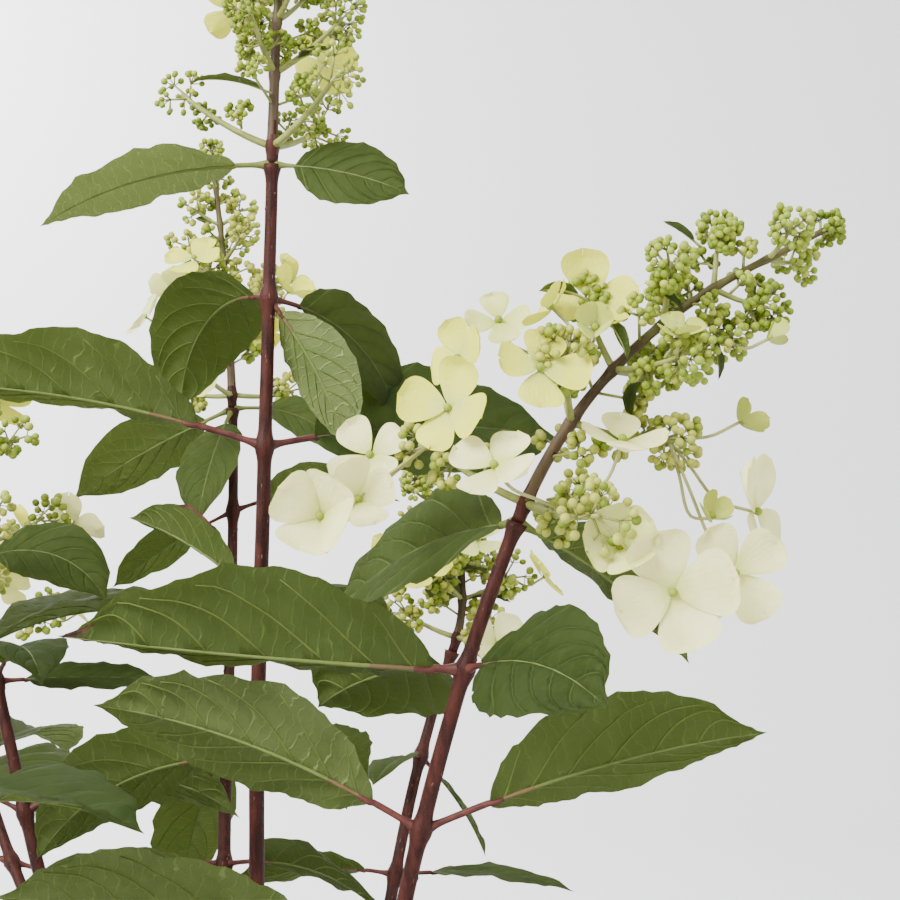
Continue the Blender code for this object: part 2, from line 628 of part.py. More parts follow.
def make_crown(collection, parts):
    """A flared stump cut flat on the soil, with an arm up to the foot of every cane."""
    ground = SOIL_TOP + JOINT_GAP
    top = ground + STUMP_HEIGHT
    crown = lathe("root_crown", (
        (0, ground), (STUMP_FLARE_RADIUS, ground), (STUMP_FLARE_RADIUS * 0.96, ground + 0.002),
        (STUMP_RADIUS * 1.15, ground + 0.009), (STUMP_RADIUS, ground + 0.016),
        (STUMP_RADIUS * 0.92, top - 0.003), (STUMP_RADIUS * 0.6, top), (0, top + 0.001),
    ), STUMP_SIDES, collection)
    heart = np.array([0, 0, ARM_START_HEIGHT])
    for name, cane in CANES.items():
        way = heading(cane["foot_turn"], cane["foot_lean"])
        reach = ARM_LENGTH - JOINT_GAP / 2
        points = [heart + way * reach * share for share in ARM_RINGS]
        radii = (ARM_RADIUS_START, ARM_RADIUS_START * ARM_SWELL_HALFWAY, CANE_RADIUS_FOOT)
        tube("arm to " + name, points, radii, parts)
    fuse(crown, parts)
    finish(crown, material("crown bark", (0.17, 0.11, 0.075), 0.85), 40)
    return crown


def make_cane(name, cane, collection):
    """The bare foot of a cane, from its arm of the crown to just below its lowest leaves."""
    path = cane_path(cane)
    total = distances(path)[-1]
    end = total - node_depths(cane)[-1] - SHOOT_BELOW_LOWEST_LEAF
    places = np.linspace(JOINT_GAP / 2, end - JOINT_GAP / 2, CANE_RINGS_BARE)
    body = tube("cane_" + name, [along(path, place) for place in places],
                [cane_radius(cane, total - place) for place in places], collection)
    finish(body, material("cane bark " + name, (0.16, 0.075, 0.055), 0.6), 60)
    return body


def make_foliage(name, cane, leaves, collection, parts):
    """A leafy shoot: the cane carried on to its tip, with its leaves fused on at their nodes."""
    path = cane_path(cane)
    total = distances(path)[-1]
    start = total - node_depths(cane)[-1] - SHOOT_BELOW_LOWEST_LEAF + JOINT_GAP / 2
    end = total + SHOOT_ABOVE_TOP_LEAF - (JOINT_GAP / 2 if cane["head"] else 0)
    places = np.linspace(start, end, SHOOT_RINGS_PER_NODE * cane["nodes"] + 1)
    shoot = tube("foliage_" + name, [along(path, place) for place in places],
                 [cane_radius(cane, total - place) for place in places], collection)
    for number, (leaf, spine) in enumerate(leaves):
        leaf_body("leaf %d of %s" % (number, name), leaf, spine, parts)
    fuse(shoot, parts)
    finish(shoot, material("leaves " + name, (0.115, 0.200, 0.055), 0.5))
    return shoot


def make_head(name, cane, collection, parts):
    """A flower head: axis, branches, bud clusters and sterile florets fused into one body."""
    path, branches, clusters, florets = head_layout(name, cane)
    length = cane["head"]["length"]
    first = SHOOT_ABOVE_TOP_LEAF + JOINT_GAP / 2
    places = np.linspace(first, length, HEAD_RINGS + 1)
    thinning = HEAD_RADIUS_TIP - CANE_RADIUS_TIP
    radii = [CANE_RADIUS_TIP + thinning * (place / length) ** HEAD_TAPER for place in places]
    head = tube("flower_head_" + name, [along(path, place) for place in places], radii, collection)
    for number, (start, end, radius) in enumerate(branches):
        rod("branch %d of %s" % (number, name), start, end, radius * 1.3, radius * 0.8, parts)
    for number, (centre, radius) in enumerate(clusters):
        cluster_body("buds %d of %s" % (number, name), centre, radius, parts)
    lines = [(start, end) for start, end, radius in branches]
    for number, (centre, facing, radius) in enumerate(florets):
        floret_body("floret %d of %s" % (number, name), centre, facing, radius, parts)
        root = nearest_place(centre - facing * FLORET_STALK_SINKS, lines)
        stalk = "stalk %d of %s" % (number, name)
        rod(stalk, root, centre, FLORET_STALK_RADIUS, FLORET_STALK_RADIUS * 0.9, parts)
    fuse(head, parts)
    finish(head, material("flowers " + name, (0.56, 0.60, 0.30), 0.5))
    return head


def skeleton_points():
    """Points along every cane and flower head, which leaves have to keep clear of."""
    skeleton = []
    for name, cane in CANES.items():
        path = cane_path(cane)
        total = distances(path)[-1]
        places = np.arange(0, total, SKELETON_SPACING)
        skeleton.append((name, np.array([along(path, place) for place in places])))
        if cane["head"]:
            axis, branches, clusters, florets = head_layout(name, cane)
            points = list(axis)
            for start, end, radius in branches:
                points.extend(start + (end - start) * share for share in np.linspace(0.2, 1, 6))
            for centre, radius in clusters:
                points.extend(centre + radius * heading(turn, lean)
                              for turn in range(0, 360, 60) for lean in (30, 75, 120, 165))
            for centre, facing, radius in florets:
                around = unit(np.cross(facing, heading(30, 10)))
                points.extend(centre + turned(around, facing, spin) * reach
                              for spin in range(0, 360, 45) for reach in (0, radius / 2, radius))
            skeleton.append((name + " head", np.array(points)))
    return skeleton


def report_near(skeleton):
    """Canes or heads that come close to one another are printed."""
    for number, (name, points) in enumerate(skeleton):
        for other, others in skeleton[number + 1:]:
            gap = np.linalg.norm(points[:, None] - others[None], axis=2).min()
            if gap < SKELETON_LIMIT and name.split()[0] != other.split()[0]:
                print("near:", name, other, round(gap * 1000, 1), "mm")


def main():
    remove_everything()
    plant = bpy.data.collections.new("panicle_hydrangea")
    bpy.context.scene.collection.children.link(plant)
    parts = bpy.data.collections.new("parts to fuse")
    bpy.context.scene.collection.children.link(parts)
    make_pot(plant)
    make_soil(plant)
    make_crown(plant, parts)
    skeleton = skeleton_points()
    report_near(skeleton)
    leaves = grow_leaves(skeleton)
    for name, cane in CANES.items():
        make_cane(name, cane, plant)
        make_foliage(name, cane, leaves[name], plant, parts)
        if cane["head"]:
            make_head(name, cane, plant, parts)
    bpy.data.collections.remove(parts)
    print("leaves", sum(len(each) for each in leaves.values()))
    print("triangles", sum(len(each.data.polygons) for each in plant.objects))


main()
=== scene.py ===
# %% [markdown]
# # A potted panicle hydrangea
#
# The plant is a young shrub in a nursery pot: eleven canes fork from a woody crown, carry pairs of toothed
# leaves and end in cone-shaped heads of green buds and pale four-petalled florets. The CAD frame holds
# coarse solids of all of it. After the camera, the studio and the light, this lesson grows the fine surface
# over them by the same rule: first the plan in plain numbers, then stems, leaves, blossom, crown, pot and
# soil.

# %% Load the frame
import math
import random

import bmesh
import bpy
import numpy as np
from mathutils import Matrix, Vector, noise


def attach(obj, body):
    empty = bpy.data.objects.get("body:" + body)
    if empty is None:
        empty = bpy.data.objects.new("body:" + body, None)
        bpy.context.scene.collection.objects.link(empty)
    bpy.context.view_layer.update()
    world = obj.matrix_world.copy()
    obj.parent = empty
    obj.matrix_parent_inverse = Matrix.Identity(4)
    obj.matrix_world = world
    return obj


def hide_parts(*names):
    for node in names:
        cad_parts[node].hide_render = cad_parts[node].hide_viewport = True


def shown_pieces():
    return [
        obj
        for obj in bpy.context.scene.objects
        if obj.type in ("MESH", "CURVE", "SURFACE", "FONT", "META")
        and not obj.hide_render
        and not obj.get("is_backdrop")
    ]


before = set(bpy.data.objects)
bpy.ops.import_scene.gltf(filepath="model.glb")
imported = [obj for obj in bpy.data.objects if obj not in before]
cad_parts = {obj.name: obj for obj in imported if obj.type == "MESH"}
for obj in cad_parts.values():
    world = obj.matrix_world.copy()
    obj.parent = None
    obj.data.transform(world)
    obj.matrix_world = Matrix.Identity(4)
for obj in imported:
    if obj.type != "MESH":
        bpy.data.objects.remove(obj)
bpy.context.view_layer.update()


def new_object(name, data):
    """An object in the scene."""
    made = bpy.data.objects.new(name, data)
    bpy.context.scene.collection.objects.link(made)
    return made

# %% [markdown]
# ## Camera and studio
#
# The photo is a close view of the top of the plant, taken level with the leaning flower head. A long
# lens keeps the leaves from spreading towards the edges. The studio is one bowl of revolution: a floor
# that curves up into a wall, so that no horizon shows, which a flat floor under a sky would give.

# %% Camera
FOCUS = Vector((0.056, -0.090, 0.496))
CAMERA_DISTANCE = 0.49
CAMERA_ELEVATION = -4.0

camera_data = bpy.data.cameras.new("camera")
camera_data.lens = 70
camera_data.sensor_width = 36
camera_data.clip_start = 0.01
camera = new_object("camera", camera_data)
rise = math.radians(CAMERA_ELEVATION)
camera.location = FOCUS + CAMERA_DISTANCE * Vector((0, -math.cos(rise), math.sin(rise)))
camera.rotation_euler = (math.pi / 2 - rise, 0, 0)
bpy.context.scene.camera = camera
print("camera at", tuple(round(place, 3) for place in camera.location))

# %% A backdrop that is floor and wall in one
FLOOR_RADIUS = 2.6
COVE_RADIUS = 0.9
WALL_HEIGHT = 2.4
COVE_STEPS = 12
BACKDROP_STEPS = 96
BACKDROP_COLOUR = (0.72, 0.72, 0.725, 1)
BACKDROP_ROUGHNESS = 0.9


def new_material(name):
    """A material with nodes, and its Principled BSDF."""
    made = bpy.data.materials.new(name)
    made.use_nodes = True
    return made, made.node_tree.nodes["Principled BSDF"]


def turned_mesh(name, profile, steps):
    """A mesh turned about +Z from a profile of radius and height."""
    bm = bmesh.new()
    knots = [bm.verts.new((radius, 0, height)) for radius, height in profile]
    edges = [bm.edges.new(pair) for pair in zip(knots, knots[1:])]
    bmesh.ops.spin(bm, geom=knots + edges, cent=(0, 0, 0), axis=(0, 0, 1), angle=2 * math.pi, steps=steps)
    bmesh.ops.remove_doubles(bm, verts=bm.verts, dist=0.00001)
    bmesh.ops.recalc_face_normals(bm, faces=bm.faces)
    mesh = bpy.data.meshes.new(name)
    bm.to_mesh(mesh)
    bm.free()
    mesh.shade_smooth()
    return mesh


def cove_profile():
    """The backdrop's section: flat floor, quarter-round cove, upright wall."""
    points = [(0, 0), (FLOOR_RADIUS * 0.5, 0), (FLOOR_RADIUS, 0)]
    for step in range(1, COVE_STEPS + 1):
        angle = math.pi / 2 * step / COVE_STEPS
        points.append((FLOOR_RADIUS + COVE_RADIUS * math.sin(angle), COVE_RADIUS * (1 - math.cos(angle))))
    points.append((FLOOR_RADIUS + COVE_RADIUS, WALL_HEIGHT))
    return points


paper, paper_shader = new_material("pale studio paper")
paper_shader.inputs["Base Color"].default_value = BACKDROP_COLOUR
paper_shader.inputs["Roughness"].default_value = BACKDROP_ROUGHNESS
backdrop = new_object("backdrop", turned_mesh("backdrop", cove_profile(), BACKDROP_STEPS))
backdrop.data.materials.append(paper)
backdrop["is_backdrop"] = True
print("backdrop faces", len(backdrop.data.polygons))

# %% [markdown]
# ## Light
#
# The photo has soft light from the upper left and front, with barely a shadow, on paper that is brightest at
# the upper left. Large area lights near the plant give the first, one more washes the paper, and the world
# fills the rest evenly.

# %% Soft boxes and world
def soft_box(name, place, aim, size, power):
    """A square area light that faces a point."""
    data = bpy.data.lights.new(name, "AREA")
    data.size = size
    data.energy = power
    lamp = new_object(name, data)
    lamp.location = place
    lamp.visible_camera = False
    lamp.rotation_euler = (Vector(aim) - Vector(place)).to_track_quat("-Z", "Y").to_euler()


soft_box("key softbox", (-0.80, -0.85, 1.35), (0.02, 0, 0.45), 0.8, 74)
soft_box("fill softbox", (1.7, -1.2, 1.2), (0, 0, 0.45), 1.6, 28)
soft_box("rim softbox", (-0.6, 1.7, 1.9), (0, 0, 0.45), 1.4, 45)
soft_box("backdrop wash", (-1.5, 2.1, 1.9), (-0.9, 3.4, 1.2), 0.7, 115)
print("lights", [each.name for each in bpy.data.lights])

world = bpy.data.worlds.new("studio air")
world.use_nodes = True
world.node_tree.nodes["Background"].inputs["Color"].default_value = (1, 1, 1, 1)
world.node_tree.nodes["Background"].inputs["Strength"].default_value = 1.50
bpy.context.scene.world = world

# %% [markdown]
# ## The plant's plan in plain numbers
#
# The fine plant has to stand exactly where the CAD solids stand, so it grows by the same rule and from the
# same sizes. Each cane is one smooth curve: where its top leaf node stands, how it leans there, and how it
# leaves the woody crown. Reading points off the coarse solids would tie the lesson to one mesh. A rule can
# be grown again at any fineness.

# %% Sizes shared with the frame
POT_HEIGHT = 0.205
POT_FOOT_RADIUS = 0.086
POT_WALL_TOP_RADIUS = 0.108
POT_RIM_RADIUS = 0.115
POT_RIM_HEIGHT = 0.016
POT_WALL = 0.0030
POT_FLOOR = 0.0040
SOIL_TOP = 0.187
SOIL_EDGE_DROP = 0.004

ARM_START_HEIGHT = 0.204
ARM_LENGTH = 0.036
ARM_RADIUS_START = 0.0064
STUMP_FLARE_RADIUS = 0.0190
CANE_RADIUS_FOOT = 0.0028
CANE_RADIUS_TIP = 0.0020
CANE_HANDLE = 0.36
CANE_STEPS = 60
INTERNODE = 0.0505
INTERNODE_SHORTENING = 0.007

# %% The canes, one by one
# Each cane: where its top leaf node stands; how it leans there and at its foot; the plan angle of its top
# pair of leaves; how many leaf nodes it has; the size of its leaves; and its flower head: length, plan
# angle and lean at its tip, reach of its lowest branches, plan angle of its first branch. Plan angles
# run from +X towards +Y and leans are from upright.
CANES = {
    "front_right": dict(tip=(0.0747, -0.092, 0.4756), turn=-3, lean=22, foot_turn=-58, foot_lean=33,
                        leaf_turn=0, nodes=5, leaf_scale=1.0,
                        head=dict(length=0.124, turn=2, lean=63, reach=0.036, first=180, florets=0)),
    "centre": dict(tip=(-0.0016, -0.020, 0.5934), turn=0, lean=0.7, foot_turn=-125, foot_lean=6,
                   leaf_turn=0, nodes=6, leaf_scale=1.0,
                   head=dict(length=0.116, turn=0, lean=4, reach=0.036, first=180, florets=0, closed=20)),
    "back_centre": dict(tip=(-0.0350, 0.150, 0.5300), turn=120, lean=5, foot_turn=118, foot_lean=30,
                        leaf_turn=35, nodes=5, leaf_scale=0.9,
                        head=dict(length=0.112, turn=160, lean=8, reach=0.032, first=20, florets=3)),
    "left_back": dict(tip=(-0.1170, 0.055, 0.4650), turn=175, lean=14, foot_turn=160, foot_lean=40,
                      leaf_turn=20, nodes=5, leaf_scale=0.95,
                      head=dict(length=0.105, turn=180, lean=20, reach=0.036, first=50, florets=2)),
    "back_right": dict(tip=(0.0570, 0.130, 0.4300), turn=10, lean=20, foot_turn=68, foot_lean=44,
                       leaf_turn=80, nodes=4, leaf_scale=0.8,
                       head=dict(length=0.076, turn=175, lean=34, reach=0.026, first=175, florets=2)),
    "front_left": dict(tip=(-0.1280, -0.085, 0.4250), turn=205, lean=17, foot_turn=214, foot_lean=42,
                       leaf_turn=60, nodes=5, leaf_scale=1.0,
                       head=dict(length=0.110, turn=205, lean=30, reach=0.040, first=0, florets=3)),
    "far_left": dict(tip=(-0.1900, 0.005, 0.3500), turn=182, lean=28, foot_turn=184, foot_lean=60,
                     leaf_turn=40, nodes=4, leaf_scale=0.9,
                     head=dict(length=0.095, turn=182, lean=46, reach=0.034, first=30, florets=3)),
    "back_left": dict(tip=(-0.1480, 0.160, 0.4250), turn=128, lean=18, foot_turn=134, foot_lean=48,
                      leaf_turn=0, nodes=5, leaf_scale=0.9,
                      head=dict(length=0.100, turn=130, lean=32, reach=0.036, first=10, florets=3)),
    "right_low": dict(tip=(0.1150, 0.030, 0.2900), turn=12, lean=44, foot_turn=12, foot_lean=58,
                      leaf_turn=90, nodes=3, leaf_scale=0.9,
                      head=dict(length=0.070, turn=12, lean=62, reach=0.026, first=0, florets=2)),
    "front_low": dict(tip=(-0.0250, -0.130, 0.2950), turn=-100, lean=36, foot_turn=-100, foot_lean=56,
                      leaf_turn=10, nodes=3, leaf_scale=0.9, head=None),
    "right_back": dict(tip=(0.0950, 0.118, 0.2750), turn=52, lean=38, foot_turn=46, foot_lean=54,
                       leaf_turn=20, nodes=3, leaf_scale=0.85, head=None),
}

print("canes", len(CANES))

# %% [markdown]
# ## Canes as curves
#
# A cane is a cubic curve between its foot and its tip. Angles in a plan and leans from upright are how a
# gardener would describe a branch, and they keep the table above short.

# %% Directions and cane curves
UP = np.array([0.0, 0.0, 1.0])


def heading(turn, lean):
    """The unit vector that leans from upright by lean towards the plan angle turn."""
    across = math.sin(math.radians(lean))
    return np.array([
        across * math.cos(math.radians(turn)),
        across * math.sin(math.radians(turn)),
        math.cos(math.radians(lean)),
    ])


def unit(vector):
    return vector / np.linalg.norm(vector)


def turned(vector, axis, degrees):
    """The vector turned about a unit axis."""
    angle = math.radians(degrees)
    return (vector * math.cos(angle) + np.cross(axis, vector) * math.sin(angle)
            + axis * (axis @ vector) * (1 - math.cos(angle)))


def cane_foot(cane):
    """Where a cane starts: at the end of its arm of the crown."""
    return np.array([0, 0, ARM_START_HEIGHT]) + ARM_LENGTH * heading(cane["foot_turn"], cane["foot_lean"])


def cane_path(cane):
    """Points of the smooth curve from a cane's foot to its top leaf node."""
    foot, tip = cane_foot(cane), np.array(cane["tip"])
    handle = CANE_HANDLE * np.linalg.norm(tip - foot)
    low = foot + handle * heading(cane["foot_turn"], cane["foot_lean"])
    high = tip - handle * heading(cane["turn"], cane["lean"])
    t = np.linspace(0, 1, CANE_STEPS + 1)[:, None]
    return (1 - t) ** 3 * foot + 3 * (1 - t) ** 2 * t * low + 3 * (1 - t) * t ** 2 * high + t ** 3 * tip


def distances(path):
    return np.concatenate([[0], np.cumsum(np.linalg.norm(np.diff(path, axis=0), axis=1))])


def along(path, distance):
    """The point at a distance up a path; beyond its end the path runs straight on."""
    marks = distances(path)
    if distance > marks[-1]:
        return path[-1] + unit(path[-1] - path[-2]) * (distance - marks[-1])
    return np.array([np.interp(distance, marks, path[:, axis]) for axis in range(3)])


def node_depths(cane):
    """How far below the tip each leaf node stands; internodes are shorter towards the tip."""
    depths = [0.0]
    for number in range(cane["nodes"] - 1):
        depths.append(depths[-1] + INTERNODE - INTERNODE_SHORTENING * 0.4 ** number)
    return depths

# %% Axes of the flower heads
HEAD_STEPS = 24
HEAD_BENT_BY = 0.8
HEAD_RADIUS_TIP = 0.0009
HEAD_TAPER = 0.8


def head_path(cane):
    """Points of a flower head's axis, which bends evenly from the cane's lean to the head's own."""
    head = cane["head"]
    start, end = heading(cane["turn"], cane["lean"]), heading(head["turn"], head["lean"])
    points = [np.array(cane["tip"])]
    for step in range(HEAD_STEPS):
        share = min(1.0, (step + 0.5) / HEAD_STEPS / HEAD_BENT_BY)
        points.append(points[-1] + unit(start * (1 - share) + end * share) * head["length"] / HEAD_STEPS)
    return np.array(points)

# %% [markdown]
# ## Where every leaf grows
#
# Hydrangea leaves stand in pairs, each pair a quarter turn from the last, and the largest are half way down
# the shoot. The leaves that the photo shows clearly are listed one by one, and the rule fills the rest of the
# plant. A leaf of the rule that would touch a stem or another leaf is turned a little, and left out when no
# turn helps.

# %% Leaf sizes and the leaves that the photo shows
LEAF_LENGTH = 0.104
LEAF_SIZES = (0.62, 0.84, 0.98, 1.0, 0.94, 0.84)
LEAF_WIDTH_SHARE = 0.55
BLADE_SKEW = 0.88
BLADE_FULLNESS = 0.72
BLADE_TIP_NARROWING = 0.20
LEAF_BEND_POWER = 1.3
LEAF_CURL = 0.10
PETIOLE_LENGTH = 0.017
RULE_RISE, RULE_RISE_DROP = 26, 6
RULE_BEND, RULE_BEND_GAIN = 44, 5
LEAF_SPINE_STEPS = 30
LEAF_CLEARANCE = 0.0085
LEAF_CLEARANCE_OWN_SHOOT = 0.0050
LEAF_SAMPLE_ROWS = 12
LEAF_SAMPLES_NEAR_ROOT = 12
SKELETON_SPACING = 0.004

# What is tried in turn with a leaf of the rule that comes near something: a change of its plan angle and
# of its rise, and a share of its length
LEAF_TRIES = (
    (0, 0, 1), (16, 6, 1), (-16, -8, 0.95), (30, -14, 0.9), (-30, 10, 0.85), (0, -26, 0.8), (0, 20, 0.7))

# Leaves that are listed one by one, at their node from the top down. Each: plan angle, rise at the root, bend
# down by the tip, blade length, roll about the midrib, fold of each half upwards, petiole length.
SET_LEAVES = {
    "front_right": {
        0: ((138, -4, 40, 0.074, -50, 14, 0.006), (14, -26, 28, 0.058, -40, 42, 0.007)),
        1: ((180, 3, -4, 0.105, 37, 33, 0.009), (-63, 12, 38, 0.066, 50, 12, 0.010),
            (122, 0, 24, 0.080, 44, 14, 0.010)),
        2: ((180, 31, 24, 0.084, 48, 16, 0.016), (-4, 23, 16, 0.080, -46, 24, 0.021)),
        3: ((184, 22, 20, 0.096, 40, 20, 0.020), (-30, -12, 34, 0.080, -20, 25, 0.018)),
    },
    "centre": {
        0: ((186, -1, 36, 0.066, 15, 8, 0.012), (-20, -6, 22, 0.042, 70, 8, 0.008)),
        1: ((130, 14, 108, 0.066, 30, 16, 0.008), (-16, -52, 22, 0.050, -80, 34, 0.006),
            (40, -4, 74, 0.058, 70, 12, 0.012)),
        2: ((184, 18, 20, 0.092, 30, 32, 0.023), (30, 12, 20, 0.096, 50, 14, 0.018)),
        3: ((154, 38, 24, 0.046, 48, 36, 0.013), (64, 12, 50, 0.066, 10, 20, 0.014)),
        4: ((184, 2, 62, 0.066, 55, 24, 0.014), (75, 0, 40, 0.080, -20, 20, 0.018)),
    },
    "back_centre": {
        0: ((182, -24, 14, 0.064, 46, 14, 0.012), (-14, 4, 66, 0.046, 40, 14, 0.014),
            (-104, -40, 30, 0.052, 10, 14, 0.010)),
        1: ((190, -26, 16, 0.046, 40, 12, 0.012), (-10, 20, 40, 0.060, -30, 18, 0.012)),
        3: ((126, -48, 30, 0.066, 0, 12, 0.012), (-30, 2, 44, 0.044, -20, 16, 0.012)),
        4: ((-34, 12, 50, 0.066, -36, 14, 0.014), (186, 6, 50, 0.078, 20, 16, 0.014)),
    },
    "left_back": {
        0: ((-14, 22, 84, 0.050, 50, 14, 0.010), (166, -22, 40, 0.054, 10, 14, 0.012)),
        1: ((6, 4, 10, 0.050, 18, 10, 0.010), (-62, 38, 84, 0.056, 0, 14, 0.012)),
        2: ((-10, 30, 70, 0.070, -40, 14, 0.014), (176, 26, 40, 0.056, 30, 16, 0.012)),
    },
    "back_right": {
        1: ((30, -44, 24, 0.042, 20, 12, 0.010), (246, 8, 40, 0.034, 10, 14, 0.010)),
        2: ((-6, 6, 24, 0.056, 0, 10, 0.014), (176, 10, 40, 0.056, 30, 16, 0.012)),
    },
}

# %% A leaf's midline and blade
def leaf_spec(root, turn, rise, bend, length, roll, fold, petiole):
    return dict(
        root=root, turn=turn, rise=rise, bend=bend, length=length, roll=roll, fold=fold, petiole=petiole)


def leaf_spine(leaf, steps=LEAF_SPINE_STEPS):
    """A leaf's midline from the cane through the petiole to the tip, with its across and up directions."""
    total = leaf["petiole"] + leaf["length"]
    flat = np.array([-math.sin(math.radians(leaf["turn"])), math.cos(math.radians(leaf["turn"])), 0])
    points, across, upward = [leaf["root"]], [], []
    for step in range(steps + 1):
        rise = leaf["rise"] - leaf["bend"] * (step / steps) ** LEAF_BEND_POWER
        ahead = heading(leaf["turn"], 90 - rise)
        across.append(turned(flat, ahead, leaf["roll"]))
        upward.append(np.cross(ahead, across[-1]))
        points.append(points[-1] + ahead * total / steps)
    return np.array(points[:-1]), np.array(across), np.array(upward)


def blade_half_width(share):
    """Half the blade's width as a share of its widest, from base to tip."""
    return math.sin(math.pi * share ** BLADE_SKEW) ** BLADE_FULLNESS * (1 - BLADE_TIP_NARROWING * share ** 5)


def spine_at(leaf, spine, share):
    """The midline point and directions at a share of the blade; below 0 is the petiole."""
    total = leaf["petiole"] + leaf["length"]
    place = (leaf["petiole"] + share * leaf["length"]) / total * LEAF_SPINE_STEPS
    low = min(max(int(place), 0), LEAF_SPINE_STEPS - 1)
    part = place - low
    return [line[low] * (1 - part) + line[low + 1] * part for line in spine]


def blade_point(leaf, spine, share, side, raised=0.0):
    """A point of the blade: side runs from -1 at one edge to 1 at the other."""
    middle, across, upward = spine_at(leaf, spine, share)
    reach = LEAF_WIDTH_SHARE * leaf["length"] / 2 * blade_half_width(min(max(share, 0.0), 1.0))
    fold = math.radians(leaf["fold"])
    lift = abs(side) * reach * math.sin(fold) - LEAF_CURL * reach * side ** 2
    return middle + across * side * reach * math.cos(fold) + upward * (lift + raised)


def leaf_samples(leaf, spine):
    """Points spread over a leaf that stand for it where clearances are measured."""
    places = [spine_at(leaf, spine, -share * leaf["petiole"] / leaf["length"])[0] for share in (0.1, 0.4)]
    for row in range(LEAF_SAMPLE_ROWS):
        for side in (-1, -0.5, 0, 0.5, 1):
            places.append(blade_point(leaf, spine, (row + 0.5) / LEAF_SAMPLE_ROWS, side))
    return np.array(places)

# %% Leaves of the rule
def node_root(path, depth):
    """The point of a cane at a depth below its tip."""
    return along(path, distances(path)[-1] - depth)


def rule_leaves(cane, number, dice):
    """The leaves of a node that has none listed: a pair, turned by a quarter from node to node."""
    root = node_root(cane_path(cane), node_depths(cane)[number])
    leaves = []
    for side in (0, 180):
        turn = cane["leaf_turn"] + 90 * (number % 2) + side + dice.uniform(-12, 12)
        length = LEAF_LENGTH * cane["leaf_scale"] * LEAF_SIZES[number] * dice.uniform(0.92, 1.05)
        rise = RULE_RISE - RULE_RISE_DROP * number + dice.uniform(-6, 6)
        bend = RULE_BEND + RULE_BEND_GAIN * number + dice.uniform(-8, 10)
        roll, fold = dice.uniform(-22, 22), dice.uniform(12, 26)
        petiole = PETIOLE_LENGTH * dice.uniform(0.8, 1.2)
        leaves.append(leaf_spec(root, turn, rise, bend, length, roll, fold, petiole))
    return leaves


def grow_leaves(skeleton):
    """All leaves by cane. Those listed one by one come first; one of the rule that comes near another goes.
    """
    taken = [(name, "limb", points) for name, points in skeleton]
    grown = {name: [] for name in CANES}

    def clear(name, samples):
        for owner, kind, points in taken:
            near = samples[LEAF_SAMPLES_NEAR_ROOT:] if owner.split()[0] == name else samples
            limit = LEAF_CLEARANCE_OWN_SHOOT if owner == name else LEAF_CLEARANCE
            gap = np.linalg.norm(near[:, None] - points[None], axis=2).min()
            if gap < limit:
                return "%s by %.1f mm" % (owner, gap * 1000)
        return None

    wanted = []
    for name, cane in CANES.items():
        path = cane_path(cane)
        for number, depth in enumerate(node_depths(cane)):
            root = node_root(path, depth)
            for values in SET_LEAVES.get(name, {}).get(number, ()):
                wanted.append((0, name, leaf_spec(root, *values)))
    for name, cane in CANES.items():
        dice = random.Random("leaves of " + name)
        for number in range(cane["nodes"]):
            if number not in SET_LEAVES.get(name, {}):
                wanted.extend((1, name, leaf) for leaf in rule_leaves(cane, number, dice))
    for rank, name, leaf in wanted:
        for turn, rise, scale in LEAF_TRIES if rank else LEAF_TRIES[:1]:
            tried = dict(
                leaf, turn=leaf["turn"] + turn, rise=leaf["rise"] + rise, length=leaf["length"] * scale)
            spine = leaf_spine(tried)
            samples = leaf_samples(tried, spine)
            blocked = clear(name, samples)
            if blocked is None or rank == 0:
                if blocked:
                    print("set leaf of", name, "turn", leaf["turn"], "is near", blocked)
                taken.append((name, "leaf", samples))
                grown[name].append((tried, spine))
                break
    return grown

# %% [markdown]
# ## How a flower head is laid out
#
# A panicle is an axis with whorls of three branches that get shorter towards the tip. Each branch ends in a
# round cluster of buds, and a few long-stalked sterile florets stand out of it. The layout gives only places
# and sizes. The meshes come later.

# %% Flower head sizes
WHORL_LOWEST = 0.0060
WHORL_SHARES = (0, 0.22, 0.38, 0.54, 0.69, 0.84)
WHORL_REACH = (1.0, 0.80, 0.68, 0.54, 0.45, 0.36)
WHORL_ANGLES = (80, 62, 62, 58, 54, 46)
WHORL_BRANCHES = (3, 3, 3, 3, 2, 2)
WHORLS_WITH_FLORETS = 3
BRANCH_RADIUS = 0.0010
BRANCH_THINNING = 0.4
WAY_STEP = 0.002
CLUSTER_RADIUS = 0.0100
CLUSTER_RADIUS_TOP = 0.0064
FLORET_RADIUS = 0.0122
FLORET_STANDS_OFF = 0.013
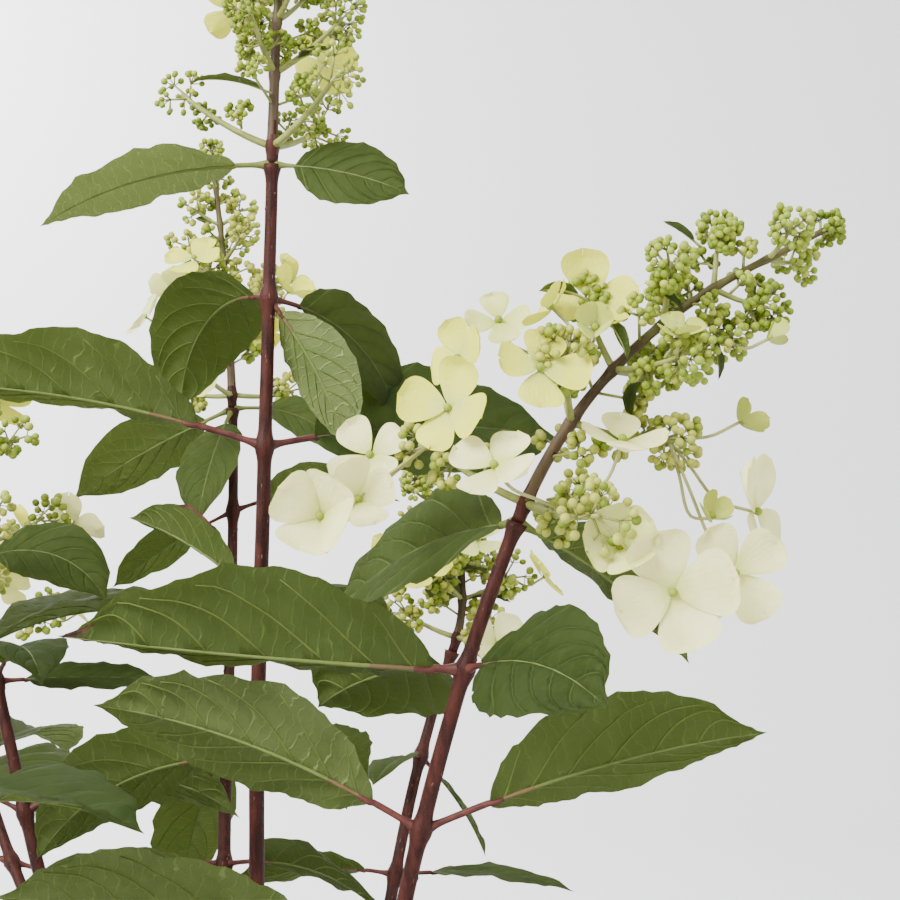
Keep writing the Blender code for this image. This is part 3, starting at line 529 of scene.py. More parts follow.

# Sterile florets listed one by one on a head: offset from the cane's tip, plan angle and lean of the way that
# the floret faces, radius.
SET_FLORETS = {
    "front_right": (
        (-0.053, -0.024, 0.001, -100, 84, 0.0135), (-0.044, -0.010, 0.006, -75, 76, 0.0120),
        (-0.041, 0.004, 0.019, -110, 70, 0.0110), (-0.019, -0.020, 0.030, -115, 76, 0.0118),
        (-0.007, -0.029, 0.014, -110, 52, 0.0118), (0.005, -0.026, 0.040, -75, 62, 0.0122),
        (-0.016, -0.007, 0.045, -140, 80, 0.0100), (-0.005, 0.004, 0.057, -90, 60, 0.0090),
        (0.021, -0.003, 0.062, -80, 56, 0.0122), (0.009, -0.015, 0.058, 170, 50, 0.0085),
        (0.020, -0.025, 0.051, -100, 70, 0.0065), (0.043, -0.021, 0.050, -88, 34, 0.0075),
        (0.070, -0.004, 0.051, 10, 60, 0.0050), (0.027, -0.023, 0.021, -70, 26, 0.0105),
        (0.062, -0.002, 0.028, 0, 58, 0.0070), (0.026, -0.026, -0.007, -96, 74, 0.0120),
        (0.039, -0.032, -0.019, -90, 86, 0.0155), (0.057, -0.020, -0.014, -80, 88, 0.0130),
        (0.066, -0.001, 0.003, -28, 84, 0.0160), (0.052, -0.011, 0.001, -60, 50, 0.0065),
    ),
    "centre": ((0.014, 0.036, 0.044, 70, 60, 0.0110), (-0.016, 0.034, 0.062, 110, 60, 0.0110)),
}

# %% Branches, bud clusters and florets
def whorl_place(head, share):
    """How far up a head's axis a share of the way from the lowest whorl to the tip lies."""
    return WHORL_LOWEST + share * (head["length"] - WHORL_LOWEST)


def cluster_size(share):
    """The radius of a bud cluster, smaller towards the top."""
    return CLUSTER_RADIUS + (CLUSTER_RADIUS_TOP - CLUSTER_RADIUS) * share


def place_and_way(path, distance):
    """The point at a distance up a path, and the way that the path runs there."""
    here = along(path, distance)
    return here, unit(along(path, distance + WAY_STEP) - here)


def head_layout(name, cane):
    """A flower head's branches, bud clusters and florets, each as plain places and sizes."""
    head = cane["head"]
    path = head_path(cane)
    dice = random.Random("head of " + name)
    branches, clusters, florets = [], [], []
    for number, share in enumerate(WHORL_SHARES):
        start, ahead = place_and_way(path, whorl_place(head, share))
        outward = unit(heading(head["first"], 90) - ahead * (heading(head["first"], 90) @ ahead))
        size = cluster_size(share)
        for turn in range(WHORL_BRANCHES[number]):
            spin = 360 / WHORL_BRANCHES[number] * turn + 60 * (number % 2) + dice.uniform(-10, 10)
            side = turned(outward, ahead, spin)
            closing = head.get("closed", 0) * (1 - share)
            angle = math.radians(WHORL_ANGLES[number] - closing + dice.uniform(-6, 6))
            way = ahead * math.cos(angle) + side * math.sin(angle)
            end = start + way * head["reach"] * WHORL_REACH[number] * dice.uniform(0.88, 1.08)
            branches.append((start, end, BRANCH_RADIUS * (1 - BRANCH_THINNING * share)))
            clusters.append((end, size * dice.uniform(0.9, 1.1)))
            if turn < head["florets"] and number < WHORLS_WITH_FLORETS:
                centre = end + unit(way - 0.5 * UP) * FLORET_STANDS_OFF
                facing = unit(way + 0.5 * UP + 0.3 * side)
                florets.append((centre, facing, FLORET_RADIUS * dice.uniform(0.85, 1.05)))
    clusters.append((path[-1], CLUSTER_RADIUS_TOP * 0.9))
    for right, back, up, turn, lean, radius in SET_FLORETS.get(name, ()):
        florets.append((path[0] + np.array([right, back, up]), heading(turn, lean), radius))
    return path, branches, clusters, florets


head_layouts = {name: head_layout(name, cane) for name, cane in CANES.items() if cane["head"]}
print("flower heads", len(head_layouts))

# %% Grow the leaves clear of stems and blossom
def skeleton_points():
    """Points along every cane and flower head, which leaves have to keep clear of."""
    skeleton = []
    for name, cane in CANES.items():
        path = cane_path(cane)
        total = distances(path)[-1]
        places = np.arange(0, total, SKELETON_SPACING)
        skeleton.append((name, np.array([along(path, place) for place in places])))
        if name in head_layouts:
            axis, branches, clusters, florets = head_layouts[name]
            points = list(axis)
            for start, end, radius in branches:
                points.extend(start + (end - start) * share for share in np.linspace(0.2, 1, 6))
            for centre, radius in clusters:
                points.extend(centre + radius * heading(turn, lean)
                              for turn in range(0, 360, 60) for lean in (30, 75, 120, 165))
            for centre, facing, radius in florets:
                around = unit(np.cross(facing, heading(30, 10)))
                points.extend(centre + turned(around, facing, spin) * reach
                              for spin in range(0, 360, 45) for reach in (0, radius / 2, radius))
            skeleton.append((name + " head", np.array(points)))
    return skeleton


leaves_by_cane = grow_leaves(skeleton_points())
print("leaves", sum(len(each) for each in leaves_by_cane.values()))

# %% [markdown]
# ## Many small things in few meshes
#
# A shrub is thousands of leaves, buds and stalks. Separate objects would be slow and instances are lost
# when the model is exported, so each kind is gathered as plain points and faces and joined once into one
# mesh. A face keeps the number of its finish, so one leaf mesh can carry upper sides, undersides and dry
# tips.

# %% A heap that gathers one kind of thing
MARKS_MAP = "place on the blade"


class Heap:
    """Points and faces of many like things, joined in the end into one piece."""

    def __init__(self):
        self.points = []
        self.faces = {3: [], 4: []}
        self.finishes = {3: [], 4: []}
        self.marks = []
        self.size = 0

    def add(self, points, quads=None, quad_finish=0, triangles=None, triangle_finish=0, marks=None):
        """Takes points, faces that count from 0 for the first of them, and two numbers to keep for each."""
        for corners, faces, finish in ((4, quads, quad_finish), (3, triangles, triangle_finish)):
            if faces is not None and len(faces):
                self.faces[corners].append(np.asarray(faces, dtype=np.int64) + self.size)
                self.finishes[corners].append(np.broadcast_to(finish, len(faces)))
        self.points.append(np.asarray(points, dtype=float))
        if marks is not None:
            self.marks.append(marks)
        self.size += len(points)

    def triangle_count(self):
        return sum(len(each) for each in self.faces[3]) + 2 * sum(len(each) for each in self.faces[4])

    def piece(self, name, materials, sharp_angle=None):
        """One mesh object of everything in the heap, smooth but for edges sharper than an angle."""
        corners, sizes, finishes = [], [], []
        for count in (4, 3):
            for faces, finish in zip(self.faces[count], self.finishes[count]):
                corners.append(faces.ravel())
                sizes.append(np.full(len(faces), count))
                finishes.append(finish)
        corners, sizes, finishes = (np.concatenate(each) for each in (corners, sizes, finishes))
        points = np.concatenate(self.points)
        mesh = bpy.data.meshes.new(name)
        mesh.vertices.add(len(points))
        mesh.vertices.foreach_set("co", points.astype(np.float32).ravel())
        mesh.loops.add(len(corners))
        mesh.loops.foreach_set("vertex_index", corners.astype(np.int32))
        mesh.polygons.add(len(sizes))
        starts = np.concatenate([[0], np.cumsum(sizes)[:-1]])
        mesh.polygons.foreach_set("loop_start", starts.astype(np.int32))
        mesh.polygons.foreach_set("material_index", finishes.astype(np.int32))
        for each in materials:
            mesh.materials.append(each)
        mesh.update(calc_edges=True)
        if self.marks:
            layer = mesh.uv_layers.new(name=MARKS_MAP)
            layer.uv.foreach_set("vector", np.concatenate(self.marks)[corners].astype(np.float32).ravel())
        mesh.shade_smooth()
        if sharp_angle is not None:
            mesh.set_sharp_from_angle(angle=math.radians(sharp_angle))
        print(name, self.triangle_count(), "triangles")
        return new_object(name, mesh)


def place_piece(piece, nodes):
    """A finished piece rides on the plant's one body and stands for its CAD nodes."""
    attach(piece, "root")
    if nodes:
        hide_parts(*nodes)
    return piece

# %% [markdown]
# ## Tubes
#
# Canes, leaf stalks, ribs and flower stalks are all tubes along a line. A curve with a bevel would do, but
# bark relief needs a radius that changes round the stem as well as along it. So a ring of points is laid
# round each place of the line, in a frame that is carried along without twisting.

# %% Tubes along a line
def carried_frames(points):
    """Two directions square to a line at each of its points, carried along it without twisting."""
    ahead = np.gradient(points, axis=0)
    ahead /= np.linalg.norm(ahead, axis=1)[:, None]
    start = np.cross(ahead[0], (0.31, 0.95, 0.02))
    first = [start / np.linalg.norm(start)]
    for way in ahead[1:]:
        side = first[-1] - way * (first[-1] @ way)
        first.append(side / np.linalg.norm(side))
    first = np.array(first)
    return first, np.cross(ahead, first)


def tube_faces(rings, sides):
    """Quads between the rings of a tube, and a fan of triangles at each end."""
    ring, side = np.meshgrid(np.arange(rings - 1), np.arange(sides), indexing="ij")
    here = ring * sides + side
    beside = ring * sides + (side + 1) % sides
    quads = np.stack([here, beside, beside + sides, here + sides], axis=-1).reshape(-1, 4)
    turn = np.arange(sides)
    after = (turn + 1) % sides
    last = (rings - 1) * sides
    foot, tip = rings * sides, rings * sides + 1
    fans = [np.stack([after, turn, np.full(sides, foot)], axis=-1),
            np.stack([last + turn, last + after, np.full(sides, tip)], axis=-1)]
    return quads, np.concatenate(fans)


def ring_angles(count):
    """Even turns round a ring."""
    return 2 * math.pi * np.arange(count) / count


def add_tube(heap, points, radii, sides, finish=0):
    """A closed tube. The radii are one for each point, or one for each point and side; the finish is one, or
    one for each quad from ring to ring."""
    points = np.asarray(points, dtype=float)
    radii = np.asarray(radii, dtype=float)
    if radii.ndim == 1:
        radii = np.repeat(radii[:, None], sides, axis=1)
    first, second = carried_frames(points)
    angle = ring_angles(sides)
    around = (first[:, None] * np.cos(angle)[None, :, None] + second[:, None] * np.sin(angle)[None, :, None])
    rings = points[:, None] + around * radii[:, :, None]
    quads, fans = tube_faces(len(points), sides)
    finish = np.broadcast_to(finish, len(quads))
    heap.add(np.concatenate([rings.reshape(-1, 3), points[:1], points[-1:]]),
             quads, finish, fans, np.repeat(finish[[0, -1]], sides))


def smooth_step(values):
    """0 below 0, 1 above 1 and an even rise between."""
    clipped = np.clip(values, 0.0, 1.0)
    return clipped * clipped * (3 - 2 * clipped)

# %% [markdown]
# ## Finishes
#
# Nothing on a living plant has one flat colour. Two patterns come back in nearly every finish, so each is
# a node group: a soft mottle of two close colours, and a net of fine cells for the small veins of leaf and
# petal. Both read the place in space, so they need no unwrapping. Cross veins, furrows and a petal's foot
# follow the blade instead, so their groups read a map that says how far along and across it a point lies.
# Light shines through leaf and petal, which a mix with a translucent shader gives.

# %% Helpers for shader nodes
# The Mix node has a pair of sockets for each kind of data; these are the places of its colour sockets.
MIX_COLOUR_A, MIX_COLOUR_B, MIX_COLOUR_RESULT = 6, 7, 2
SMOOTH = {"interpolation_type": "SMOOTHSTEP"}


def feed(tree, socket, value):
    """Gives an input a link from an output, or a plain value; a colour may be three numbers."""
    if isinstance(value, bpy.types.NodeSocket):
        tree.links.new(value, socket)
    elif socket.type == "RGBA" and len(value) == 3:
        socket.default_value = (*value, 1)
    else:
        socket.default_value = value


def add_node(tree, kind, settings=None, **inputs):
    """A node with its settings and inputs; an underscore stands for a space in an input's name."""
    node = tree.nodes.new(kind)
    for key, value in (settings or {}).items():
        setattr(node, key, value)
    for key, value in inputs.items():
        feed(tree, node.inputs[key.replace("_", " ")], value)
    return node


def computed(tree, operation, *values):
    """The result of a Math node."""
    node = add_node(tree, "ShaderNodeMath", {"operation": operation})
    for socket, value in zip(node.inputs, values):
        feed(tree, socket, value)
    return node.outputs["Value"]


def smooth_range(tree, value, **ends):
    """A value that rises smoothly from 0 to 1 between two ends."""
    return add_node(tree, "ShaderNodeMapRange", SMOOTH, Value=value, **ends).outputs["Result"]


def blended(tree, factor, first, second):
    """Two colours mixed by a factor."""
    mix = add_node(tree, "ShaderNodeMix", {"data_type": "RGBA"}, Factor=factor)
    feed(tree, mix.inputs[MIX_COLOUR_A], first)
    feed(tree, mix.inputs[MIX_COLOUR_B], second)
    return mix.outputs[MIX_COLOUR_RESULT]


def object_place(tree):
    return add_node(tree, "ShaderNodeTexCoord").outputs["Object"]


def blade_marks(tree):
    """The two numbers of the map: millimetres along the blade or petal, and the place across it."""
    marks = add_node(tree, "ShaderNodeUVMap", {"uv_map": MARKS_MAP})
    parts = add_node(tree, "ShaderNodeSeparateXYZ", Vector=marks.outputs["UV"])
    return parts.outputs["X"], parts.outputs["Y"]


def node_group(name, inputs, outputs):
    """A shader node group with named sockets; returns it with the sockets to read from and to feed."""
    group = bpy.data.node_groups.new(name, "ShaderNodeTree")
    for socket_name, kind, value in inputs:
        socket = group.interface.new_socket(socket_name, in_out="INPUT", socket_type="NodeSocket" + kind)
        socket.default_value = value
    for socket_name, kind in outputs:
        group.interface.new_socket(socket_name, in_out="OUTPUT", socket_type="NodeSocket" + kind)
    return group, group.nodes.new("NodeGroupInput").outputs, group.nodes.new("NodeGroupOutput").inputs

# %% Mottle
def make_mottle():
    """Soft clouds of two close colours, and the mask that mixes them."""
    group, given, result = node_group(
        "mottle",
        (("Scale", "Float", 60.0), ("Light", "Color", (1, 1, 1, 1)), ("Dark", "Color", (0, 0, 0, 1)),
         ("Stretch", "Vector", (1, 1, 1))),
        (("Colour", "Color"), ("Mask", "Float")))
    stretched = add_node(group, "ShaderNodeVectorMath", {"operation": "MULTIPLY"})
    feed(group, stretched.inputs[0], object_place(group))
    feed(group, stretched.inputs[1], given["Stretch"])
    clouds = add_node(group, "ShaderNodeTexNoise", Vector=stretched.outputs["Vector"], Scale=given["Scale"],
                      Detail=3.0, Roughness=0.6)
    mask = smooth_range(group, clouds.outputs["Fac"], From_Min=0.32, From_Max=0.68)
    feed(group, result["Colour"], blended(group, mask, given["Dark"], given["Light"]))
    feed(group, result["Mask"], mask)
    return group

# %% Cell net
def make_cells():
    """A net of fine cells: 0 on its lines and 1 inside the cells."""
    group, given, result = node_group(
        "cell net", (("Cells per metre", "Float", 400.0), ("Vein share", "Float", 0.12)),
        (("Height", "Float"),))
    cells = add_node(group, "ShaderNodeTexVoronoi", {"feature": "DISTANCE_TO_EDGE"},
                     Vector=object_place(group), Scale=given["Cells per metre"], Randomness=0.9)
    height = smooth_range(group, cells.outputs["Distance"], From_Max=given["Vein share"])
    feed(group, result["Height"], height)
    return group

# %% Ladder of cross veins
RUNG_DRIFT = 2.2


def make_rungs():
    """Cross veins: lines a few millimetres apart, out of step from one gap between side veins to the next."""
    group, given, result = node_group(
        "ladder of cross veins", (("Spacing in mm", "Float", 4.4), ("Line share", "Float", 0.10)),
        (("Height", "Float"),))
    millimetres, veins = blade_marks(group)
    chance = add_node(group, "ShaderNodeTexWhiteNoise", {"noise_dimensions": "1D"},
                      W=computed(group, "FLOOR", veins))
    drift = add_node(group, "ShaderNodeTexNoise", Vector=object_place(group), Scale=130.0, Detail=2.0)
    steps = computed(group, "DIVIDE", millimetres, given["Spacing in mm"])
    steps = computed(group, "MULTIPLY_ADD", drift.outputs["Fac"], RUNG_DRIFT, steps)
    within = computed(group, "FRACT", computed(group, "ADD", steps, chance.outputs["Value"]))
    distance = computed(group, "ABSOLUTE", computed(group, "SUBTRACT", within, 0.5))
    feed(group, result["Height"], smooth_range(group, distance, From_Max=given["Line share"]))
    return group

# %% Furrows of side veins
def make_vein_lines():
    """Side veins by their numbers on the map: 0 on each vein's line, and a broad furrow about it."""
    group, given, result = node_group(
        "furrows of side veins", (("Line share", "Float", 0.03), ("Furrow share", "Float", 0.17)),
        (("Line", "Float"), ("Furrow", "Float")))
    millimetres, veins = blade_marks(group)
    beside = computed(group, "SUBTRACT", veins, computed(group, "ROUND", veins))
    distance = computed(group, "ABSOLUTE", beside)
    for name in ("Line", "Furrow"):
        feed(group, result[name], smooth_range(group, distance, From_Max=given[name + " share"]))
    return group

# %% Foot and rays of a petal
def make_foot():
    """For petals: a mask that fades in towards the foot, and fine rays along the petal."""
    group, given, result = node_group(
        "foot and rays of a petal", (("Reach in mm", "Float", 7.0), ("Rays", "Float", 4.5)),
        (("Foot", "Float"), ("Ray height", "Float")))
    millimetres, side = blade_marks(group)
    fade = smooth_range(group, millimetres, From_Max=given["Reach in mm"], To_Min=1.0, To_Max=0.0)
    feed(group, result["Foot"], fade)
    many = computed(group, "MULTIPLY", side, given["Rays"])
    feed(group, result["Ray height"], computed(group, "PINGPONG", many, 0.5))
    return group

# %% Flecks
FLECK_RADII = (0.022, 0.034)


def make_flecks():
    """A mask of a few small round specks."""
    group, given, result = node_group("flecks", (("Flecks per metre", "Float", 70.0),), (("Mask", "Float"),))
    cells = add_node(group, "ShaderNodeTexVoronoi", {"feature": "F1"}, Vector=object_place(group),
                     Scale=given["Flecks per metre"], Randomness=1.0)
    mask = smooth_range(group, cells.outputs["Distance"], From_Min=FLECK_RADII[0], From_Max=FLECK_RADII[1],
                        To_Min=1.0, To_Max=0.0)
    feed(group, result["Mask"], mask)
    return group

# %% Every group, built once
mottle_group, cells_group, rungs_group = make_mottle(), make_cells(), make_rungs()
veins_group, foot_group, flecks_group = make_vein_lines(), make_foot(), make_flecks()
print("node groups", [group.name for group in bpy.data.node_groups])

# %% One recipe for every living finish
FLECK_COLOUR = (0.020, 0.012, 0.006)
SHEEN_SPREAD = 0.07
FINE_NET_STRENGTH = 0.3
FURROW_DEPTH = 0.0005
RAY_RELIEF = 0.00008


def use_group(tree, group, **inputs):
    return add_node(tree, "ShaderNodeGroup", {"node_tree": group}, **inputs)


def add_bump(tree, height, distance):
    """A bump node; a distance below 0 turns hills into hollows."""
    return add_node(tree, "ShaderNodeBump", {"invert": distance < 0}, Height=height, Strength=1.0,
                    Distance=abs(distance))


def net_height(tree, cells, cell_share, rungs):
    """A net's height: 0 on its lines and 1 between; rungs make the cells' own lines faint."""
    height = use_group(tree, cells_group, Cells_per_metre=cells, Vein_share=cell_share).outputs["Height"]
    if not rungs:
        return height
    ladder = use_group(tree, rungs_group, Spacing_in_mm=rungs)
    faint = add_node(tree, "ShaderNodeMapRange", Value=height, To_Min=1 - FINE_NET_STRENGTH)
    return computed(tree, "MULTIPLY", faint.outputs["Result"], ladder.outputs["Height"])


def living_finish(name, light, dark, mottle_scale, stretch=(1, 1, 1), roughness=0.5, gloss=0.3, cells=0,
                  cell_share=0.12, relief=0.0, rungs=0.0, flecks=False, net_tint=None,
                  vein_tint=None, foot_tint=None, through=None, through_share=0.0):
    """A mottled surface with a net of cells in relief; light may shine through it in a colour of its own."""
    made, shader = new_material(name)
    tree = made.node_tree
    mottle = use_group(tree, mottle_group, Scale=mottle_scale, Light=light, Dark=dark, Stretch=stretch)
    colour = mottle.outputs["Colour"]
    sheen = add_node(tree, "ShaderNodeMapRange", Value=mottle.outputs["Mask"],
                     To_Min=roughness - SHEEN_SPREAD, To_Max=roughness + SHEEN_SPREAD)
    feed(tree, shader.inputs["Roughness"], sheen.outputs["Result"])
    feed(tree, shader.inputs["Specular IOR Level"], gloss)
    if cells:
        height = net_height(tree, cells, cell_share, rungs)
        bump = add_bump(tree, height, relief)
        feed(tree, shader.inputs["Normal"], bump.outputs["Normal"])
        if net_tint:
            colour = blended(tree, height, net_tint, colour)
        if vein_tint:
            lines = use_group(tree, veins_group)
            furrow = add_bump(tree, lines.outputs["Furrow"], FURROW_DEPTH)
            feed(tree, bump.inputs["Normal"], furrow.outputs["Normal"])
            colour = blended(tree, lines.outputs["Line"], vein_tint, colour)
        if foot_tint:
            foot = use_group(tree, foot_group)
            rays = add_bump(tree, foot.outputs["Ray height"], RAY_RELIEF)
            feed(tree, bump.inputs["Normal"], rays.outputs["Normal"])
            colour = blended(tree, foot.outputs["Foot"], colour, foot_tint)
    if flecks:
        specks = use_group(tree, flecks_group)
        colour = blended(tree, specks.outputs["Mask"], colour, FLECK_COLOUR)
    feed(tree, shader.inputs["Base Color"], colour)
    if through_share:
        glow = add_node(tree, "ShaderNodeBsdfTranslucent", Color=through)
        both = add_node(tree, "ShaderNodeMixShader", Fac=through_share)
        feed(tree, both.inputs[1], shader.outputs["BSDF"])
        feed(tree, both.inputs[2], glow.outputs["BSDF"])
        feed(tree, tree.nodes["Material Output"].inputs["Surface"], both.outputs["Shader"])
    return made

# %% [markdown]
# ## Canes with bark
#
# On the real shrub this year's growth is a dark wine red with pale raised pores, and it turns to rough
# brown wood lower down. The relief is in the mesh: fine ridges run along the stem, deeper on old wood,
# and the stem swells where a pair of leaves sits. Waves whose crests close round the stem give ridges
# without a seam.

# %% Smooth lines and bark waves
CANE_SIDES = 14
CANE_RING_SPACING = 0.0016
NODE_SWELLING = 0.0011
NODE_SWELLING_LENGTH = 0.0032
OLD_WOOD_FROM = 0.17
OLD_WOOD_TO = 0.34
OLD_PATCH_SPREAD, OLD_PATCH_FROM = 0.45, 0.62

# Height of the ridges on young stems, and what old wood adds to it
FINE_RIDGES, FINE_RIDGES_OLD = 0.00007, 0.00022
BROAD_RIDGES, BROAD_RIDGES_OLD = 0.00012, 0.00020


def fine_line(points, spacing):
    """A smooth line through points, sampled about every spacing, with the distance of each sample."""
    points = np.asarray(points, dtype=float)
    marks = distances(points)
    count = max(3, int(round(marks[-1] / spacing)) + 1)
    wanted = np.linspace(0, marks[-1], count)
    slopes = np.gradient(points, marks, axis=0)
    low = np.clip(np.searchsorted(marks, wanted, side="right") - 1, 0, len(marks) - 2)
    step = (marks[low + 1] - marks[low])[:, None]
    t = (wanted - marks[low])[:, None] / step
    line = ((2 * t ** 3 - 3 * t ** 2 + 1) * points[low] + (t ** 3 - 2 * t ** 2 + t) * step * slopes[low]
            + (3 * t ** 2 - 2 * t ** 3) * points[low + 1] + (t ** 3 - t ** 2) * step * slopes[low + 1])
    return line, wanted


def bark_waves(dice, places, angles, around, lengths):
    """An uneven pattern over a stem: the sum of waves with whole numbers of crests round it."""
    total = np.zeros((len(places), len(angles)))
    for crests in around:
        pace = dice.uniform(-1, 1) * 2 * math.pi / lengths
        total += np.sin(crests * angles[None] + pace * places[:, None] + dice.uniform(0, 6.3))
    return total / len(around)


def swelling(places, centre, length):
    return np.exp(-((places - centre) / length) ** 2)

# %% Bark colours
MAROON_LIGHT, MAROON_DARK = (0.048, 0.0125, 0.0085), (0.018, 0.0047, 0.0034)
WOOD_LIGHT, WOOD_DARK = (0.060, 0.030, 0.018), (0.022, 0.010, 0.006)
ALONG_STEM = (1.0, 1.0, 0.22)

maroon_bark = living_finish(
    "maroon bark", MAROON_LIGHT, MAROON_DARK, mottle_scale=420, stretch=ALONG_STEM, roughness=0.55,
    gloss=0.12, cells=900, cell_share=0.3, relief=0.00005)
old_bark = living_finish(
    "old brown bark", WOOD_LIGHT, WOOD_DARK, mottle_scale=300, stretch=ALONG_STEM, roughness=0.75,
    gloss=0.12, cells=700, cell_share=0.3, relief=0.00012)
pore_finish = living_finish(
    "pale pores", (0.120, 0.066, 0.044), (0.070, 0.034, 0.024), mottle_scale=900, roughness=0.7, gloss=0.15)

# %% Every cane
canes = Heap()
cane_lines = {}


def add_cane(name, cane):
    """One cane from inside its arm of the crown to its top node, with ridges and swollen nodes."""
    dice = random.Random("bark of " + name)
    line, places = fine_line(cane_path(cane), CANE_RING_SPACING)
    depth = places[-1] - places
    radius = CANE_RADIUS_TIP + (CANE_RADIUS_FOOT - CANE_RADIUS_TIP) * depth / depth[0]
    for node in node_depths(cane):
        radius = radius + NODE_SWELLING * swelling(depth, node, NODE_SWELLING_LENGTH)
    angles = ring_angles(CANE_SIDES)
    fine = bark_waves(dice, places, angles, (5, 6, 7, 9), 0.030)
    broad = bark_waves(dice, places, angles, (1, 2, 3), 0.045)
    old = smooth_step((depth - OLD_WOOD_FROM) / (OLD_WOOD_TO - OLD_WOOD_FROM))[:, None]
    relief = (fine * (FINE_RIDGES + FINE_RIDGES_OLD * old)
              + broad * (BROAD_RIDGES + BROAD_RIDGES_OLD * old))
    patches = bark_waves(dice, places, angles, (1, 2, 4), 0.020)
    is_old = old[:-1] + OLD_PATCH_SPREAD * patches[:-1] > OLD_PATCH_FROM
    add_tube(canes, line, radius[:, None] + relief, CANE_SIDES, is_old.astype(int).ravel())
    cane_lines[name] = (line, depth, radius)


for name, cane in CANES.items():
    add_cane(name, cane)
place_piece(canes.piece("canes", (maroon_bark, old_bark)), ["cane_" + name for name in CANES])

# %% [markdown]
# ## Pores in the bark
#
# Lenticels are the small pale corky lenses through which bark breathes. They are long along the stem, so
# each is a low lens of eight sides set on the bark, and their places come from a seeded draw.

# %% Lenticels
PORE_SPACING = 0.0030
PORE_LENGTHS = (0.0006, 0.0013)
PORE_WIDTHS = (0.00020, 0.00034)
PORE_RISE = 0.00016
PORE_RIM_SINK, PORE_BOTTOM_SINK = 0.8, 2
PORE_CORNERS = 8
pores = Heap()


def add_pore(centre, outward, lengthwise, half_length, half_width):
    """A closed lens whose rim lies in the bark."""
    sideways = np.cross(outward, lengthwise)
    turn = ring_angles(PORE_CORNERS)
    rim = (centre + np.cos(turn)[:, None] * lengthwise * half_length
           + np.sin(turn)[:, None] * sideways * half_width - outward * PORE_RISE * PORE_RIM_SINK)
    ends = [centre + outward * PORE_RISE, centre - outward * PORE_RISE * PORE_BOTTOM_SINK]
    points = np.concatenate([rim, ends])
    corner = np.arange(PORE_CORNERS)
    after = (corner + 1) % PORE_CORNERS
    top = np.stack([corner, after, np.full(PORE_CORNERS, PORE_CORNERS)], axis=-1)
    bottom = np.stack([after, corner, np.full(PORE_CORNERS, PORE_CORNERS + 1)], axis=-1)
    pores.add(points, triangles=np.concatenate([top, bottom]))


for name in CANES:
    dice = random.Random("pores of " + name)
    line, depth, radius = cane_lines[name]
    first, second = carried_frames(line)
    for number in range(int(depth[0] / PORE_SPACING)):
        ring = dice.randrange(4, len(line) - 4)
        angle = dice.uniform(0, 2 * math.pi)
        outward = first[ring] * math.cos(angle) + second[ring] * math.sin(angle)
        add_pore(line[ring] + outward * radius[ring], outward, unit(line[ring + 1] - line[ring]),
                 dice.uniform(*PORE_LENGTHS), dice.uniform(*PORE_WIDTHS))
place_piece(pores.piece("bark_pores", (pore_finish,)), [])

# %% [markdown]
# ## Leaves
#
# A hydrangea leaf is a pointed oval with a fine saw edge. Its side veins leave the midrib at a slant and
# arch towards the tip, and short rungs cross between them like a ladder. The blade bulges a little between
# the veins. The blade is made as two layers that share their margin, a closed body a third of a millimetre
# thick. Cutting the veins into its grid would bend the margin's teeth out of step, so veins are fine tubes
# that follow the same surface, and furrows and rungs are patterns that know which two veins they lie
# between.

# %% The veins' course
VEIN_PLACES = (0.05, 0.15, 0.285, 0.44, 0.60, 0.755)
VEIN_SLANT = 0.44
VEIN_SLANT_FROM, VEIN_SLANT_TO = -0.08, 0.26
VEIN_SLANT_AT_TIP = 1.75
VEIN_STRAIGHT, VEIN_ARCH = 0.72, 0.28
BEFORE_FIRST_VEIN, NEAR_THE_TIP = -0.2, 0.91
VEIN_END = 0.86
COLUMNS = (0.0, 0.12, 0.26, 0.40, 0.54, 0.67, 0.79, 0.90, 1.0)
FEW_COLUMNS = (0.0, 0.3, 0.6, 0.82, 1.0)


def vein_course(start, side):
    """Where a vein that leaves the midrib at a share of the blade has got to at a share of the half width."""
    slant = VEIN_SLANT * smooth_step((start - VEIN_SLANT_FROM) / (VEIN_SLANT_TO - VEIN_SLANT_FROM))
    slant = slant * np.minimum(1, VEIN_SLANT_AT_TIP * (1 - start))
    return start + slant * (VEIN_STRAIGHT * np.abs(side) + VEIN_ARCH * np.abs(side) ** 3)


def vein_number(places, sides):
    """How many veins lie below a point of the blade, with the share of the way to the next."""
    starts = np.linspace(BEFORE_FIRST_VEIN, 1, 121)
    marks = np.concatenate([[BEFORE_FIRST_VEIN], VEIN_PLACES, [NEAR_THE_TIP, 1.0]])
    counts = np.arange(len(marks)) - 1
    numbers = np.empty_like(places)
    for column in range(places.shape[1]):
        start = np.interp(places[:, column], vein_course(starts, sides[0, column]), starts)
        numbers[:, column] = np.interp(start, marks, counts)
    return numbers

# %% The faces of a closed thin sheet
def sheet_faces(rows, columns):
    """Upper and lower quads of a sheet whose two layers share their rim, and which lower points are new."""
    upper = np.arange(rows * columns).reshape(rows, columns)
    inner = np.zeros((rows, columns), dtype=bool)
    inner[1:-1, 1:-1] = True
    lower = upper.copy()
    lower[inner] = rows * columns + np.arange(inner.sum())
    top = np.stack([upper[:-1, :-1], upper[1:, :-1], upper[1:, 1:], upper[:-1, 1:]], axis=-1)
    bottom = np.stack([lower[:-1, :-1], lower[:-1, 1:], lower[1:, 1:], lower[1:, :-1]], axis=-1)
    return top.reshape(-1, 4), bottom.reshape(-1, 4), inner


def add_sheet(heap, top, bottom, marks, finish):
    """A closed thin sheet of two layers; marks are two numbers for each point of a layer."""
    upper_faces, lower_faces, inner = sheet_faces(*top.shape[:2])
    heap.add(np.concatenate([top.reshape(-1, 3), bottom[inner]]), np.concatenate([upper_faces, lower_faces]),
             finish, marks=np.concatenate([marks.reshape(-1, 2), marks[inner]]))


